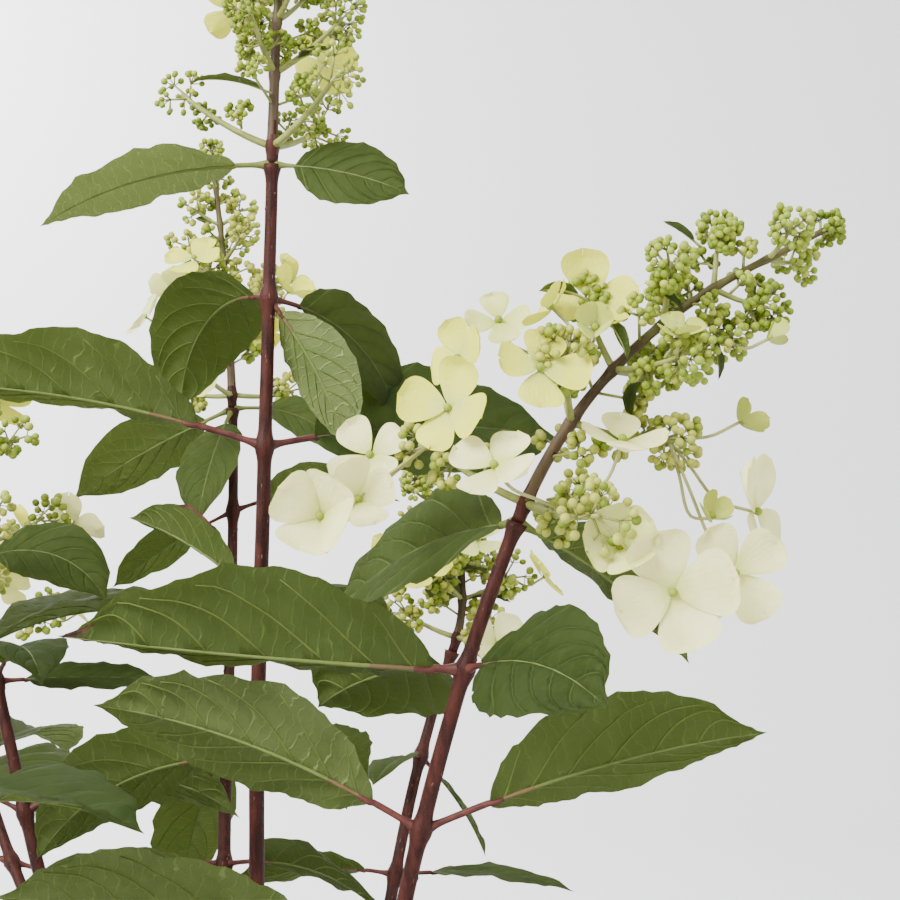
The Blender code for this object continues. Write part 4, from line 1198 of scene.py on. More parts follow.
def spine_places(leaf, spine, shares):
    """Midline points and directions at many shares of the blade at once."""
    total = leaf["petiole"] + leaf["length"]
    steps = len(spine[0]) - 1
    place = (leaf["petiole"] + shares * leaf["length"]) / total * steps
    marks = np.arange(steps + 1)
    return [np.stack([np.interp(place, marks, line[:, axis]) for axis in range(3)], axis=-1)
            for line in spine]

# %% The blade as one surface
LEAF_THICKNESS = 0.00034
BULGE = 0.0020
MARGIN_WAVE = 0.0017
MARGIN_CRESTS = (2.2, 4.1, 7.3)
CALM_TIP = 0.15
TIP_TAPER = 0.55
TIP_FROM, TIP_SHARE = 0.84, 0.16
BASE_HALF_WIDTH, TIP_HALF_WIDTH = 0.0007, 0.00008
FINE_SPINE_STEPS = 150


def half_widths(leaf, shares):
    """The blade's half width: the plan's outline, drawn out to a fine tip."""
    shares = np.clip(shares, 0, 1)
    sharper = BLADE_FULLNESS + TIP_TAPER * smooth_step((shares - TIP_FROM) / TIP_SHARE)
    outline = np.sin(math.pi * shares ** BLADE_SKEW).clip(0) ** sharper
    outline = outline * (1 - BLADE_TIP_NARROWING * shares ** 5)
    least = BASE_HALF_WIDTH * (1 - shares) + TIP_HALF_WIDTH
    return np.maximum(LEAF_WIDTH_SHARE * leaf["length"] / 2 * outline, least)


def margin_waves(dice):
    """For each edge of a leaf, how often and from where it waves."""
    return {side: [(crests, dice.random()) for crests in MARGIN_CRESTS] for side in (-1, 1)}


def blade_surface(leaf, spine, waves, along_blade, to_side, teeth=0.0):
    """Points of the blade's middle surface and its upward directions."""
    t, v = along_blade, to_side
    scale = leaf["length"] / LEAF_LENGTH
    reach = half_widths(leaf, t)
    middle, across, upward = spine_places(leaf, spine, t)
    fold = math.radians(leaf["fold"])
    lift = np.abs(v) * reach * math.sin(fold) - LEAF_CURL * reach * v ** 2
    for side, crests_of_side in waves.items():
        wave = sum(np.sin(2 * math.pi * (crests * t + start)) / crests ** 0.6
                   for crests, start in crests_of_side)
        on_side = (np.sign(v) == side) * smooth_step((1 - t) / CALM_TIP)
        lift = lift + MARGIN_WAVE * scale * wave * np.abs(v) ** 2.5 * on_side
    if t.ndim == 2 and t.shape[1] > 1:
        bulge = np.sin(math.pi * vein_number(t, v)) ** 2 * (1 - np.abs(v) ** 3) * smooth_step(np.abs(v) / 0.2)
        lift = lift + BULGE * scale * bulge * smooth_step((t - 0.02) / 0.08) * smooth_step((0.97 - t) / 0.10)
    flat = middle + across * ((v * reach + np.sign(v) * teeth) * math.cos(fold))[..., None]
    return flat + upward * lift[..., None], upward

# %% One blade
TOOTH_DEPTH = 0.0011
TOOTH_SHAPE = (0.0, 0.35, 1.0)
TOOTHLESS_BASE, TOOTHLESS_TIP = 0.12, 0.05
TOOTH_SIZES = (0.15, 1.2)
FEWEST_ROWS = 10
ROW_CROWDING = 0.25
DRY_RIM_SHARE = 1.6
DRY_EDGE_WAVE = 0.02
UPPER_TINTS, LOWER_TINTS = 4, 5
DRY = UPPER_TINTS + LOWER_TINTS
DRY_RIM = DRY + 1


def saw_edge(rows, dice):
    """The teeth's height at each row: they rise towards the tip of the leaf and then fall off."""
    heights = np.array([TOOTH_SHAPE[row % 3] for row in range(rows)])
    sizes = np.array([dice.uniform(*TOOTH_SIZES) for tooth in range(rows // 3 + 1)])
    return heights * np.repeat(sizes, 3)[:rows]


def add_blade(heap, leaf, dice, waves, upper_tint, lower_tint, spacing, columns=COLUMNS,
              dry=0.0, dry_rim=None, bite=None):
    """A blade with bulges, saw edge and wavy margin; its map holds millimetres along and vein numbers."""
    spine = leaf_spine(leaf, FINE_SPINE_STEPS)
    rows = max(FEWEST_ROWS, int(round(leaf["length"] / spacing)))
    even = np.linspace(0, 1, rows + 1)
    places = even - ROW_CROWDING * np.sin(2 * math.pi * even) / (2 * math.pi)
    sides = np.array([-each for each in columns[:0:-1]] + list(columns))
    t, v = np.meshgrid(places, sides, indexing="ij")
    scale = leaf["length"] / LEAF_LENGTH
    teeth = np.zeros_like(t)
    for edge in (0, -1):
        teeth[:, edge] = TOOTH_DEPTH * scale ** 0.5 * saw_edge(rows + 1, dice)
    teeth = teeth * smooth_step(t / TOOTHLESS_BASE) * smooth_step((1 - t) / TOOTHLESS_TIP)
    if bite:
        place, half_length, depth, side = bite
        teeth -= depth * np.exp(-((t - place) / half_length) ** 4) * (v * side).clip(0) ** 12
    surface, upward = blade_surface(leaf, spine, waves, t, v, teeth)
    surface[-1] = surface[-1].mean(axis=0)
    half = np.where(np.abs(v) > 0.99, 0, LEAF_THICKNESS / 2)[..., None]
    top, bottom = surface + upward * half, surface - upward * half
    top[0], top[-1] = surface[0], surface[-1]
    finishes = np.stack([np.full(t[1:, 1:].shape, tint) for tint in (upper_tint, UPPER_TINTS + lower_tint)])
    t_face = t[:-1, :-1] + DRY_EDGE_WAVE * np.sin(9 * v[:-1, :-1] + 3)
    if dry_rim:
        start, end, side = dry_rim
        on_rim = (t_face > start) & (t_face < end)
        on_rim[:, slice(0, -1) if side > 0 else slice(1, None)] = False
        finishes[:, on_rim] = DRY_RIM
    for finish, depth in ((DRY_RIM, dry * DRY_RIM_SHARE), (DRY, dry)):
        finishes[:, t_face > 1 - depth] = finish
    marks = np.stack([t * leaf["length"] * 1000, vein_number(t, v)], axis=-1)
    add_sheet(heap, top, bottom, marks, finishes.ravel())

# %% Leaf colours
UPPER_COLOURS = (
    ((0.027, 0.039, 0.011), (0.017, 0.027, 0.006)), ((0.034, 0.048, 0.014), (0.022, 0.035, 0.008)),
    ((0.022, 0.034, 0.011), (0.013, 0.023, 0.006)), ((0.040, 0.056, 0.017), (0.027, 0.041, 0.010)))
LOWER_COLOURS = (
    ((0.049, 0.070, 0.019), (0.038, 0.057, 0.013)), ((0.068, 0.093, 0.028), (0.053, 0.076, 0.020)),
    ((0.084, 0.110, 0.036), (0.066, 0.091, 0.026)), ((0.125, 0.158, 0.056), (0.096, 0.127, 0.040)),
    ((0.185, 0.235, 0.085), (0.160, 0.205, 0.068)))
# The fifth underside tint is painted light: it brightens a leaf as if light shone through it from behind.
PALE_UNDERSIDE, PAINTED_BACKLIT_UNDERSIDE = 3, 4
DRY_COLOURS = (
    ("dry tips", (0.030, 0.012, 0.006), (0.010, 0.005, 0.003)),
    ("dry rims", (0.074, 0.036, 0.013), (0.034, 0.014, 0.006)))
UPPER_NET_LIFT, UPPER_VEIN_LIFT, LOWER_NET_LIFT = 1.25, 2.6, 1.80
LEAF_GLOW = (0.400, 0.470, 0.150)
LEAF_GLOW_SHARE = 0.35


def lifted(colour, lift):
    """A colour made brighter by a factor."""
    return tuple(min(0.95, lift * part) for part in colour)


leaf_finishes = []
for number, (light, dark) in enumerate(UPPER_COLOURS):
    leaf_finishes.append(living_finish(
        "leaf upper side %d" % (number + 1), light, dark, mottle_scale=70, roughness=0.66, gloss=0.06,
        cells=520, cell_share=0.10, relief=0.00010, rungs=3.8, flecks=True,
        net_tint=lifted(light, UPPER_NET_LIFT), vein_tint=lifted(light, UPPER_VEIN_LIFT),
        through=LEAF_GLOW, through_share=LEAF_GLOW_SHARE))
# The fifth underside finish carries that painted backlight tint.
for number, (light, dark) in enumerate(LOWER_COLOURS):
    leaf_finishes.append(living_finish(
        "leaf underside %d" % (number + 1), light, dark, mottle_scale=80, roughness=0.62, gloss=0.10,
        cells=620, cell_share=0.08, relief=-0.00034, rungs=3.5, flecks=True,
        net_tint=lifted(light, LOWER_NET_LIFT), through=LEAF_GLOW, through_share=LEAF_GLOW_SHARE))
for (title, light, dark), roughness in zip(DRY_COLOURS, (0.8, 0.7)):
    leaf_finishes.append(living_finish(title, light, dark, mottle_scale=300, roughness=roughness))

# %% Three pieces by the side of the plant, and the wear and tints of some leaves, one with painted backlight
LEAF_PIECES = {
    "leaves_front": ("front_right", "centre", "front_low"),
    "leaves_left": ("left_back", "front_left", "far_left"),
    "leaves_back": ("back_centre", "back_right", "back_left", "right_low", "right_back"),
}
ROW_SPACINGS = {"leaves_front": 0.0018, "leaves_left": 0.0024, "leaves_back": 0.0028}

# Wear and tints of some leaves, by their number on the cane: how much of the tip is dry; from where to where
# and on which side the rim is dry; place, half length, depth and side of a bite; the tints of its two sides,
# where the brightest underside tint is painted light shining through from behind; and whether its side veins
# stand out as ribs.
LEAF_WEAR_AND_PAINTED_LIGHT = {
    ("front_right", 0): dict(upper=3),
    ("front_right", 2): dict(dry=0.05, under=0),
    ("front_right", 3): dict(upper=2),
    ("front_right", 5): dict(bite=(0.66, 0.042, 0.0027, 1), under=2, dry=0.012),
    ("front_right", 6): dict(under=0),
    ("front_right", 7): dict(under=2),
    # Painted light: this underside gets the brightest tint, as if lit through from behind.
    ("centre", 0): dict(under=PAINTED_BACKLIT_UNDERSIDE, veins=False),
    ("centre", 1): dict(upper=1),
    ("centre", 3): dict(dry=0.03, under=PALE_UNDERSIDE),
    ("centre", 5): dict(under=1),
    ("centre", 7): dict(dry_rim=(0.25, 0.55, 1), under=0),
}
SOME_DRY_TIPS = 0.15
SMALL_DRY_TIP = 0.02

# %% Every blade
leaf_waves = {}
for piece_name, owners in LEAF_PIECES.items():
    heap = Heap()
    for name in owners:
        dice = random.Random("blades of " + name)
        for number, (leaf, spine) in enumerate(leaves_by_cane[name]):
            wear_and_painted_light = LEAF_WEAR_AND_PAINTED_LIGHT.get((name, number), {})
            dry = wear_and_painted_light.get("dry", SMALL_DRY_TIP if dice.random() < SOME_DRY_TIPS else 0.0)
            under = wear_and_painted_light.get("under", dice.randrange(PALE_UNDERSIDE))
            leaf_waves[name, number] = margin_waves(dice)
            upper = wear_and_painted_light.get("upper", dice.randrange(UPPER_TINTS))
            add_blade(heap, leaf, dice, leaf_waves[name, number], upper, under,
                      ROW_SPACINGS[piece_name], dry=dry, dry_rim=wear_and_painted_light.get("dry_rim"), bite=wear_and_painted_light.get("bite"))
    piece = heap.piece(piece_name, leaf_finishes, sharp_angle=70)
    place_piece(piece, ["foliage_" + name for name in owners])

# %% [markdown]
# ## Leaf stalks, midribs and side veins
#
# A pinkish stalk clasps the cane with a wide foot, and runs on under the blade as a pale round rib that
# thins to nothing at the tip. From it the side veins arch out as finer ribs. All are tubes along lines of
# the leaf's own surface, sunk so that they stand out below. Above, only the midrib shows as a fine pale
# line, and the leaf's finish draws the furrows over the side veins. The leaves next to a flower head have
# green stalks, and the lower ones are flushed with red.

# %% Stalks and ribs
STALK_RADIUS = 0.00115
STALK_FOOT = 0.0012
STALK_FOOT_LENGTH = 0.0030
STALK_END = 0.05
STALK_THINNING = 0.35
RIB_RADIUS = 0.00058
RIB_LEAST_RADIUS = 0.00014
RIB_TAPER = 0.75
RIB_START, RIB_END = 0.012, 0.97
RIB_FLUSH_END = 0.16
SIDE_VEIN_RADIUS = 0.00036
SIDE_VEIN_END_RADIUS = 0.00019
SIDE_VEIN_SINK = 0.00016
VEIN_START = 0.02
NEAR_CANES = ("front_right", "centre")
STALK_RINGS, STALK_SIDES = 18, 10
RIB_RINGS, RIB_SIDES = 32, 7
NEAR_VEIN_RINGS_AND_SIDES, FAR_VEIN_RINGS_AND_SIDES = (11, 5), (6, 4)
stalks, ribs = Heap(), Heap()


def add_stalk_and_rib(leaf, is_green):
    """A stalk that runs on as the midrib; finish 0 is red and 1 is green."""
    spine = leaf_spine(leaf, FINE_SPINE_STEPS)
    scale = 0.35 + 0.65 * leaf["length"] / LEAF_LENGTH
    root = -leaf["petiole"] / leaf["length"]
    shares = np.linspace(root, STALK_END, STALK_RINGS)
    middle, across, upward = spine_places(leaf, spine, shares)
    distance = (shares - root) * leaf["length"]
    radius = STALK_RADIUS * scale + STALK_FOOT * scale * swelling(distance, 0.001, STALK_FOOT_LENGTH)
    radius = radius * (1 - STALK_THINNING * smooth_step((shares + 0.02) / 0.07))
    sink = np.where(shares > 0, radius - LEAF_THICKNESS / 2, 0)
    add_tube(stalks, middle - upward * sink[:, None], radius, STALK_SIDES, int(is_green))
    shares = np.linspace(RIB_START, RIB_END, RIB_RINGS)
    middle, across, upward = spine_places(leaf, spine, shares)
    radius = RIB_RADIUS * scale * (1 - shares) ** RIB_TAPER + RIB_LEAST_RADIUS
    sink = np.maximum(radius - LEAF_THICKNESS * 0.9, 0)
    finish = np.where(np.repeat(shares[:-1], RIB_SIDES) < RIB_FLUSH_END, int(is_green), 1)
    add_tube(ribs, middle - upward * sink[:, None], radius, RIB_SIDES, finish)


def add_side_veins(leaf, waves, rings, sides):
    """Fine ribs on both halves of the blade, along the same courses as the bulges between them."""
    spine = leaf_spine(leaf, FINE_SPINE_STEPS)
    scale = (leaf["length"] / LEAF_LENGTH) ** 0.5
    share = np.linspace(0.0, 1.0, rings)
    radius = scale * (SIDE_VEIN_RADIUS + (SIDE_VEIN_END_RADIUS - SIDE_VEIN_RADIUS) * share)
    for start in VEIN_PLACES:
        for side in (-1, 1):
            v = side * (VEIN_START + (VEIN_END - VEIN_START) * share)
            line, upward = blade_surface(leaf, spine, waves, vein_course(start, v), v)
            add_tube(ribs, line - upward * SIDE_VEIN_SINK, radius, sides, 2)

# %% Every leaf's stalk and ribs
for name, cane in CANES.items():
    for number, (leaf, spine) in enumerate(leaves_by_cane[name]):
        at_the_head = np.linalg.norm(leaf["root"] - np.array(cane["tip"])) < 0.001
        add_stalk_and_rib(leaf, at_the_head)
        if LEAF_WEAR_AND_PAINTED_LIGHT.get((name, number), {}).get("veins", True):
            fineness = NEAR_VEIN_RINGS_AND_SIDES if name in NEAR_CANES else FAR_VEIN_RINGS_AND_SIDES
            add_side_veins(leaf, leaf_waves[name, number], *fineness)
red_stalk, green_stalk, rib_finish, flushed_rib, vein_finish = (
    living_finish(title, light, dark, mottle_scale=240, roughness=0.55, gloss=0.15, through=LEAF_GLOW,
                  through_share=share)
    for title, light, dark, share in (
        ("red leaf stalks", (0.085, 0.026, 0.020), (0.050, 0.014, 0.011), 0.0),
        ("green leaf stalks", (0.130, 0.152, 0.032), (0.092, 0.115, 0.022), 0.1),
        ("pale ribs", (0.130, 0.165, 0.046), (0.105, 0.138, 0.034), 0.3),
        ("flushed ribs", (0.140, 0.088, 0.042), (0.110, 0.072, 0.033), 0.2),
        ("side veins", (0.125, 0.160, 0.040), (0.102, 0.135, 0.031), 0.45)))
place_piece(stalks.piece("leaf_stalks", (red_stalk, green_stalk)), [])
place_piece(ribs.piece("leaf_ribs", (flushed_rib, rib_finish, vein_finish)), [])

# %% [markdown]
# ## The stalks of the flower heads
#
# A panicle's axis starts in the red of the cane and fades to a brownish green, and its branches are paler
# still. The branches fork into short twigs that carry the buds. All are thin tubes, a little bent, because
# straight ones look like wire.

# %% Axis and branches
AXIS_SIDES = 12
AXIS_RED_SHARE, AXIS_BROWN_SHARE = 0.08, 0.44
AXIS_RING_SPACING = 0.0016
AXIS_RELIEF = 0.00010
AXIS_PATCHES = 0.10
WHORL_SWELLING, WHORL_SWELLING_LOSS = 0.0006, 0.6
WHORL_SWELLING_LENGTH = 0.0022
BRANCH_SAG = 0.05
BRANCH_RINGS = 8
axes, twigs = Heap(), Heap()


def bent_line(start, end):
    """A shallow arc between two points that hangs a share of its length below the straight line."""
    t = np.linspace(0, 1, BRANCH_RINGS)[:, None]
    drop = 4 * t * (1 - t) * BRANCH_SAG * np.linalg.norm(end - start)
    return start + (end - start) * t - UP * drop


def add_axis(name, cane):
    """The head's axis, swollen where its whorls stand."""
    dice = random.Random("axis of " + name)
    line, places = fine_line(head_path(cane), AXIS_RING_SPACING)
    radius = CANE_RADIUS_TIP + (HEAD_RADIUS_TIP - CANE_RADIUS_TIP) * (places / places[-1]) ** HEAD_TAPER
    for share in WHORL_SHARES:
        rise = WHORL_SWELLING * (1 - WHORL_SWELLING_LOSS * share)
        radius = radius + rise * swelling(places, whorl_place(cane["head"], share), WHORL_SWELLING_LENGTH)
    angles = ring_angles(AXIS_SIDES)
    relief = bark_waves(dice, places, angles, (2, 3, 4, 5), 0.02) * AXIS_RELIEF
    patches = bark_waves(dice, places, angles, (1, 2, 3), 0.012)
    aged = ((places / places[-1])[:, None] + AXIS_PATCHES * patches)[:-1].ravel()
    finish = (aged > AXIS_RED_SHARE) + 1 * (aged > AXIS_BROWN_SHARE)
    add_tube(axes, line, radius[:, None] + relief, AXIS_SIDES, finish)

# %% [markdown]
# ## Buds
#
# A bud is a green ball two or three millimetres across on a stalk as thin as a hair. A handful stands in a
# small umbel, and several umbels make the round cluster at the end of a branch. Smaller clusters sit along
# the branches and close to the axis between the whorls. A ball of eighty faces is round enough on the head
# nearest to the camera, and fewer serve elsewhere. The buds near the top of a head are smaller and greener
# than the low ones, so tints are dealt out by cluster.

# %% Places of the buds in a cluster
UMBEL_PLACE = 0.56
UMBEL_REACH = 0.46
BUD_RADIUS = 0.00152
UMBELS_ABOVE = -0.75
BUDS_ABOVE = -0.25
BUD_TRIES = 1.6
EXTRA_BUDS = 2
BUD_LEAN = 0.35
GOLDEN_TURN = math.pi * (3 - math.sqrt(5))
SPREAD_WOBBLE = 0.25


def spread_directions(count, dice):
    """Directions spread evenly over a ball by the golden angle, each moved a little."""
    spin = dice.uniform(0, 2 * math.pi)
    for number in range(count):
        height = 1 - 2 * (number + 0.5) / count
        ring = math.sqrt(1 - height * height)
        angle = spin + GOLDEN_TURN * number
        way = np.array([ring * math.cos(angle), ring * math.sin(angle), height])
        yield unit(way + SPREAD_WOBBLE * np.array([dice.uniform(-1, 1) for axis in range(3)]))


def cluster_plan(dice, centre, outward, radius, umbels, per_umbel):
    """The umbels of a cluster, each as its root and the places of its buds."""
    plan = []
    for way in spread_directions(umbels, dice):
        if way @ outward < UMBELS_ABOVE:
            continue
        root = centre + way * radius * UMBEL_PLACE * dice.uniform(0.75, 1.05)
        buds = []
        for spread in spread_directions(int(per_umbel * BUD_TRIES), dice):
            if spread @ way > BUDS_ABOVE:
                reach = radius * UMBEL_REACH * dice.uniform(0.8, 1.1)
                buds.append(root + unit(spread + BUD_LEAN * way) * reach)
        plan.append((root, buds[:per_umbel + EXTRA_BUDS]))
    return plan

# %% Balls for near and far heads
def ball_mesh(make, **sizes):
    """Points and faces of a unit ball made by one of bmesh's primitives."""
    bm = bmesh.new()
    make(bm, **sizes)
    points = np.array([vertex.co for vertex in bm.verts])
    quads = [[vertex.index for vertex in face.verts] for face in bm.faces if len(face.verts) == 4]
    triangles = [[vertex.index for vertex in face.verts] for face in bm.faces if len(face.verts) == 3]
    bm.free()
    return points, quads, triangles


near_ball = ball_mesh(bmesh.ops.create_icosphere, subdivisions=2, radius=1)
far_ball = ball_mesh(bmesh.ops.create_uvsphere, u_segments=6, v_segments=4, radius=1)
BALLS = {"front_right": near_ball}
HEAD_BUD_SIZES = {"front_right": 0.78, "centre": 0.62}
FAR_HEAD_BUD_SIZE = 0.96
BUD_SIZE_LOW, BUD_SIZE_TOP = 1.16, 0.84
BUD_STALK_RADIUS, UMBEL_STALK_RADIUS = 0.00024, 0.00042
UMBEL_STALK_START = 0.35
SHARE_IN_CLUSTER_TINT = 0.75
BUD_LONGER = (0.98, 1.14)
BUD_SIZE_CHANCE = (0.84, 1.12)
PALE_BUDS_BELOW = 0.34
SPARSE_CLUSTERS_BELOW = 0.1
buds = {"front_right": Heap(), "centre": Heap(), "others": Heap()}

# %% One bud and one cluster
def add_bud(heap, ball, centre, outward, radius, tint, dice):
    """One bud: a ball a little longer than wide, turned its own way."""
    points, quads, triangles = ball
    turn = Vector(outward).to_track_quat("Z", "Y").to_matrix() @ Matrix.Rotation(dice.uniform(0, 3), 3, "Z")
    stretched = points * np.array([1, 1, dice.uniform(*BUD_LONGER)]) * radius
    heap.add(stretched @ np.array(turn).T + centre, quads, tint, triangles, tint)


def add_stalk(start, end, radius, sides=3):
    """A straight hair of a stalk."""
    add_tube(twigs, np.array([start, end]), np.array([radius, radius * 0.9]), sides)


def add_cluster(name, dice, centre, outward, radius, share, umbels, per_umbel):
    """Buds, their hair stalks and the twigs of their umbels."""
    near = name in NEAR_CANES
    heap, ball = buds[name if near else "others"], BALLS.get(name, far_ball)
    is_green = name == "centre" or near and share > PALE_BUDS_BELOW
    cluster_tint = dice.choice((0, 1, 1)) if is_green else dice.choice((1, 2, 2))
    head_size = HEAD_BUD_SIZES.get(name, FAR_HEAD_BUD_SIZE)
    per_umbel = round(per_umbel / head_size)
    for root, places in cluster_plan(dice, centre, outward, radius, umbels, per_umbel):
        add_stalk(centre - outward * radius * UMBEL_STALK_START, root, UMBEL_STALK_RADIUS, 4)
        for place in places:
            size = BUD_RADIUS * head_size * dice.uniform(*BUD_SIZE_CHANCE)
            size *= BUD_SIZE_LOW + (BUD_SIZE_TOP - BUD_SIZE_LOW) * share
            tint = cluster_tint if dice.random() < SHARE_IN_CLUSTER_TINT else dice.randrange(3)
            add_stalk(root, place, BUD_STALK_RADIUS)
            add_bud(heap, ball, place, unit(place - root), size, tint, dice)

# %% Branches with their clusters
SIDE_CLUSTERS = (0.36, 0.66)
SIDE_CLUSTER_SHARE = 0.58
SIDE_CLUSTER_OFFSET = 0.0050
SIDE_CLUSTER_TURN = 150
SHORTEST_WITH_SIDES = 0.016
INNER_REACH = 0.40
INNER_CLUSTER_SHARE = 0.62
INNER_PLACE = 0.55
SMALL_CLUSTER_UMBELS, SMALL_CLUSTER_BUDS = 4, 5
SMALL_TWIG_RADIUS = 0.0005
BRANCH_THICK_FOOT, BRANCH_THIN_TIP = 1.3, 0.7
NEAR_BRANCH_SIDES, FAR_BRANCH_SIDES = 8, 5
FULL_CLUSTER, SPARSE_CLUSTER = (7, 6), (5, 5)


def add_small_cluster(name, dice, root, aim, reach, radius, share):
    """A small cluster on a short twig of its own."""
    end = root + aim * reach
    add_stalk(root, end, SMALL_TWIG_RADIUS, 5)
    add_cluster(name, dice, end, aim, radius, share, SMALL_CLUSTER_UMBELS, SMALL_CLUSTER_BUDS)


def dress_branch(name, dice, start, end, thickness, size, share):
    """A branch with a cluster at its end and smaller ones on the way."""
    way = unit(end - start)
    line = bent_line(start, end)
    near = name in NEAR_CANES
    radii = np.linspace(thickness * BRANCH_THICK_FOOT, thickness * BRANCH_THIN_TIP, BRANCH_RINGS)
    add_tube(twigs, line, radii, NEAR_BRANCH_SIDES if near else FAR_BRANCH_SIDES)
    is_full = near and share > SPARSE_CLUSTERS_BELOW
    add_cluster(name, dice, end, way, size, share, *(FULL_CLUSTER if is_full else SPARSE_CLUSTER))
    if np.linalg.norm(end - start) < SHORTEST_WITH_SIDES:
        return
    spin = dice.uniform(0, 360)
    for number, place in enumerate(SIDE_CLUSTERS if near else SIDE_CLUSTERS[1:]):
        sideways = turned(unit(np.cross(way, UP) + 0.01), way, spin + SIDE_CLUSTER_TURN * number)
        root = start + (end - start) * (place + dice.uniform(-0.07, 0.07))
        small = size * SIDE_CLUSTER_SHARE
        add_small_cluster(name, dice, root, unit(sideways + 0.5 * way), SIDE_CLUSTER_OFFSET, small, share)


def dress_between_whorls(name, dice, cane, path):
    """Short twigs with small clusters close to the axis."""
    head = cane["head"]
    for low, high, whorl_reach in zip(WHORL_SHARES, WHORL_SHARES[1:], WHORL_REACH):
        share = low + (high - low) * INNER_PLACE
        root, ahead = place_and_way(path, whorl_place(head, share))
        across = unit(np.cross(ahead, heading(dice.uniform(0, 360), 70)))
        size = cluster_size(share) * INNER_CLUSTER_SHARE
        for spin in (0, 180):
            aim = unit(turned(across, ahead, spin + dice.uniform(-25, 25)) + 0.5 * ahead)
            reach = head["reach"] * whorl_reach * INNER_REACH * dice.uniform(0.8, 1.15)
            add_small_cluster(name, dice, root, aim, reach, size, share)

# %% Whole heads
def dress_head(name, cane):
    """The axis of a head, its branches and all its bud clusters."""
    path, branches, clusters, florets = head_layouts[name]
    dice = random.Random("buds of " + name)
    add_axis(name, cane)
    marks = distances(path)
    for (start, end, thickness), (centre, size) in zip(branches, clusters):
        share = marks[np.argmin(np.linalg.norm(path - start, axis=1))] / marks[-1]
        dress_branch(name, dice, start, end, thickness, size, share)
    dress_between_whorls(name, dice, cane, path)
    top, size = clusters[-1]
    add_cluster(name, dice, top, unit(path[-1] - path[-3]), size, 1.0, *FULL_CLUSTER)


for name in head_layouts:
    dress_head(name, CANES[name])

# %% Colours of the flower heads
BUD_COLOURS = (
    ((0.168, 0.225, 0.014), (0.120, 0.172, 0.008)), ((0.265, 0.322, 0.034), (0.200, 0.258, 0.019)),
    ((0.400, 0.415, 0.070), (0.310, 0.335, 0.042)))
BUD_GLOW = (0.32, 0.37, 0.02)
bud_finishes = [
    living_finish("bud tint %d" % (number + 1), light, dark, mottle_scale=260, roughness=0.5, gloss=0.22,
                  through=BUD_GLOW, through_share=0.14)
    for number, (light, dark) in enumerate(BUD_COLOURS)]
AXIS_COLOURS = (
    ("brown head axis", (0.076, 0.050, 0.026), (0.048, 0.030, 0.016)),
    ("olive head axis", (0.085, 0.075, 0.024), (0.058, 0.050, 0.016)))
brown_axis, green_axis = (
    living_finish(title, light, dark, mottle_scale=260, stretch=ALONG_STEM, roughness=0.5, gloss=0.15)
    for title, light, dark in AXIS_COLOURS)
twig_finish = living_finish(
    "pale green twigs", (0.240, 0.255, 0.065), (0.170, 0.190, 0.040), mottle_scale=300, roughness=0.5)
heads = ["flower_head_" + name for name in head_layouts]
place_piece(axes.piece("flower_axes", (maroon_bark, brown_axis, green_axis)), heads)
place_piece(twigs.piece("flower_twigs", (twig_finish,)), [])
for name, heap in buds.items():
    place_piece(heap.piece("buds_" + name, bud_finishes), [])

# %% [markdown]
# ## Sterile florets
#
# The showy flowers have four round petals that overlap, cream with a breath of green, each a thin cupped
# sheet with an uneven edge. They hang on long fine stalks at the outside of the head and face every way.
# Petals are real sheets here, two crossed pairs one above the other, because a flat picture of a flower
# dies as soon as it is seen from the side.

# %% One petal
NEAR_PETAL_LINES, FAR_PETAL_LINES = 14, 8
PETAL_THICKNESS = 0.00030
PETAL_WIDTHS = (0.66, 0.84)
PETAL_CUP = 0.14
PETAL_RUFFLE = 0.060
PETAL_RUFFLE_CRESTS = (2.1, 3.7)
PETAL_LINES_TO_RIM = 0.85
PETAL_FOOT_POWER, PETAL_END_POWER = 0.66, 4.4
PETAL_WIDTH_CHANCE = (0.92, 1.08)
PETAL_TIP_CURLS = (-0.20, 0.16)
PETAL_TROUGHS = (0.04, 0.20)
PETAL_END_DENT = 0.05
PETAL_VEIN_RELIEF, PETAL_VEIN_CRESTS = 0.00012, 9
HALF_OPEN_CUP = 0.75
HALF_OPEN_SHORTER = 0.45
petals = Heap()


def add_petal(lines, centre, outward, across, facing, radius, broad, closed, tint, dice):
    """A petal with a narrow base and a broad round end; it cups, more so while the floret is half closed."""
    u = np.linspace(0, 1, lines)[:, None] ** PETAL_LINES_TO_RIM
    v = np.linspace(-1, 1, lines)[None]
    u, v = np.broadcast_arrays(u, v)
    outline = u ** PETAL_FOOT_POWER * (1 - u ** PETAL_END_POWER).clip(0) ** 0.5
    width = broad * radius * dice.uniform(*PETAL_WIDTH_CHANCE) * np.maximum(outline, 0.05 * (1 - u) + 0.004)
    waves = sum(np.sin(crests * v + dice.uniform(0, 6.3)) for crests in PETAL_RUFFLE_CRESTS) / 2
    cup = radius * (PETAL_CUP * u ** 1.4 + dice.uniform(*PETAL_TIP_CURLS) * u ** 3)
    cup = cup + radius * closed * HALF_OPEN_CUP * u ** 1.2
    trough = radius * (dice.uniform(*PETAL_TROUGHS) * v ** 2 * u + PETAL_RUFFLE * waves * u ** 3)
    reach = radius * (1 - HALF_OPEN_SHORTER * closed) * u * (1 - PETAL_END_DENT * np.cos(2.4 * v) * u ** 4)
    place = (centre + outward * reach[..., None] + across * (v * width)[..., None]
             + facing * (cup + trough)[..., None])
    rim = (np.abs(v) > 0.99) | (u < 0.001) | (u > 0.999)
    half = np.where(rim, 0, PETAL_THICKNESS / 2)
    vein = PETAL_VEIN_RELIEF * np.cos(v * PETAL_VEIN_CRESTS) * u * (1 - u)
    top = place + facing * (half + vein)[..., None]
    bottom = place - facing * (half - vein)[..., None]
    add_sheet(petals, top, bottom, np.stack([u * radius * 1000, v], axis=-1), tint)

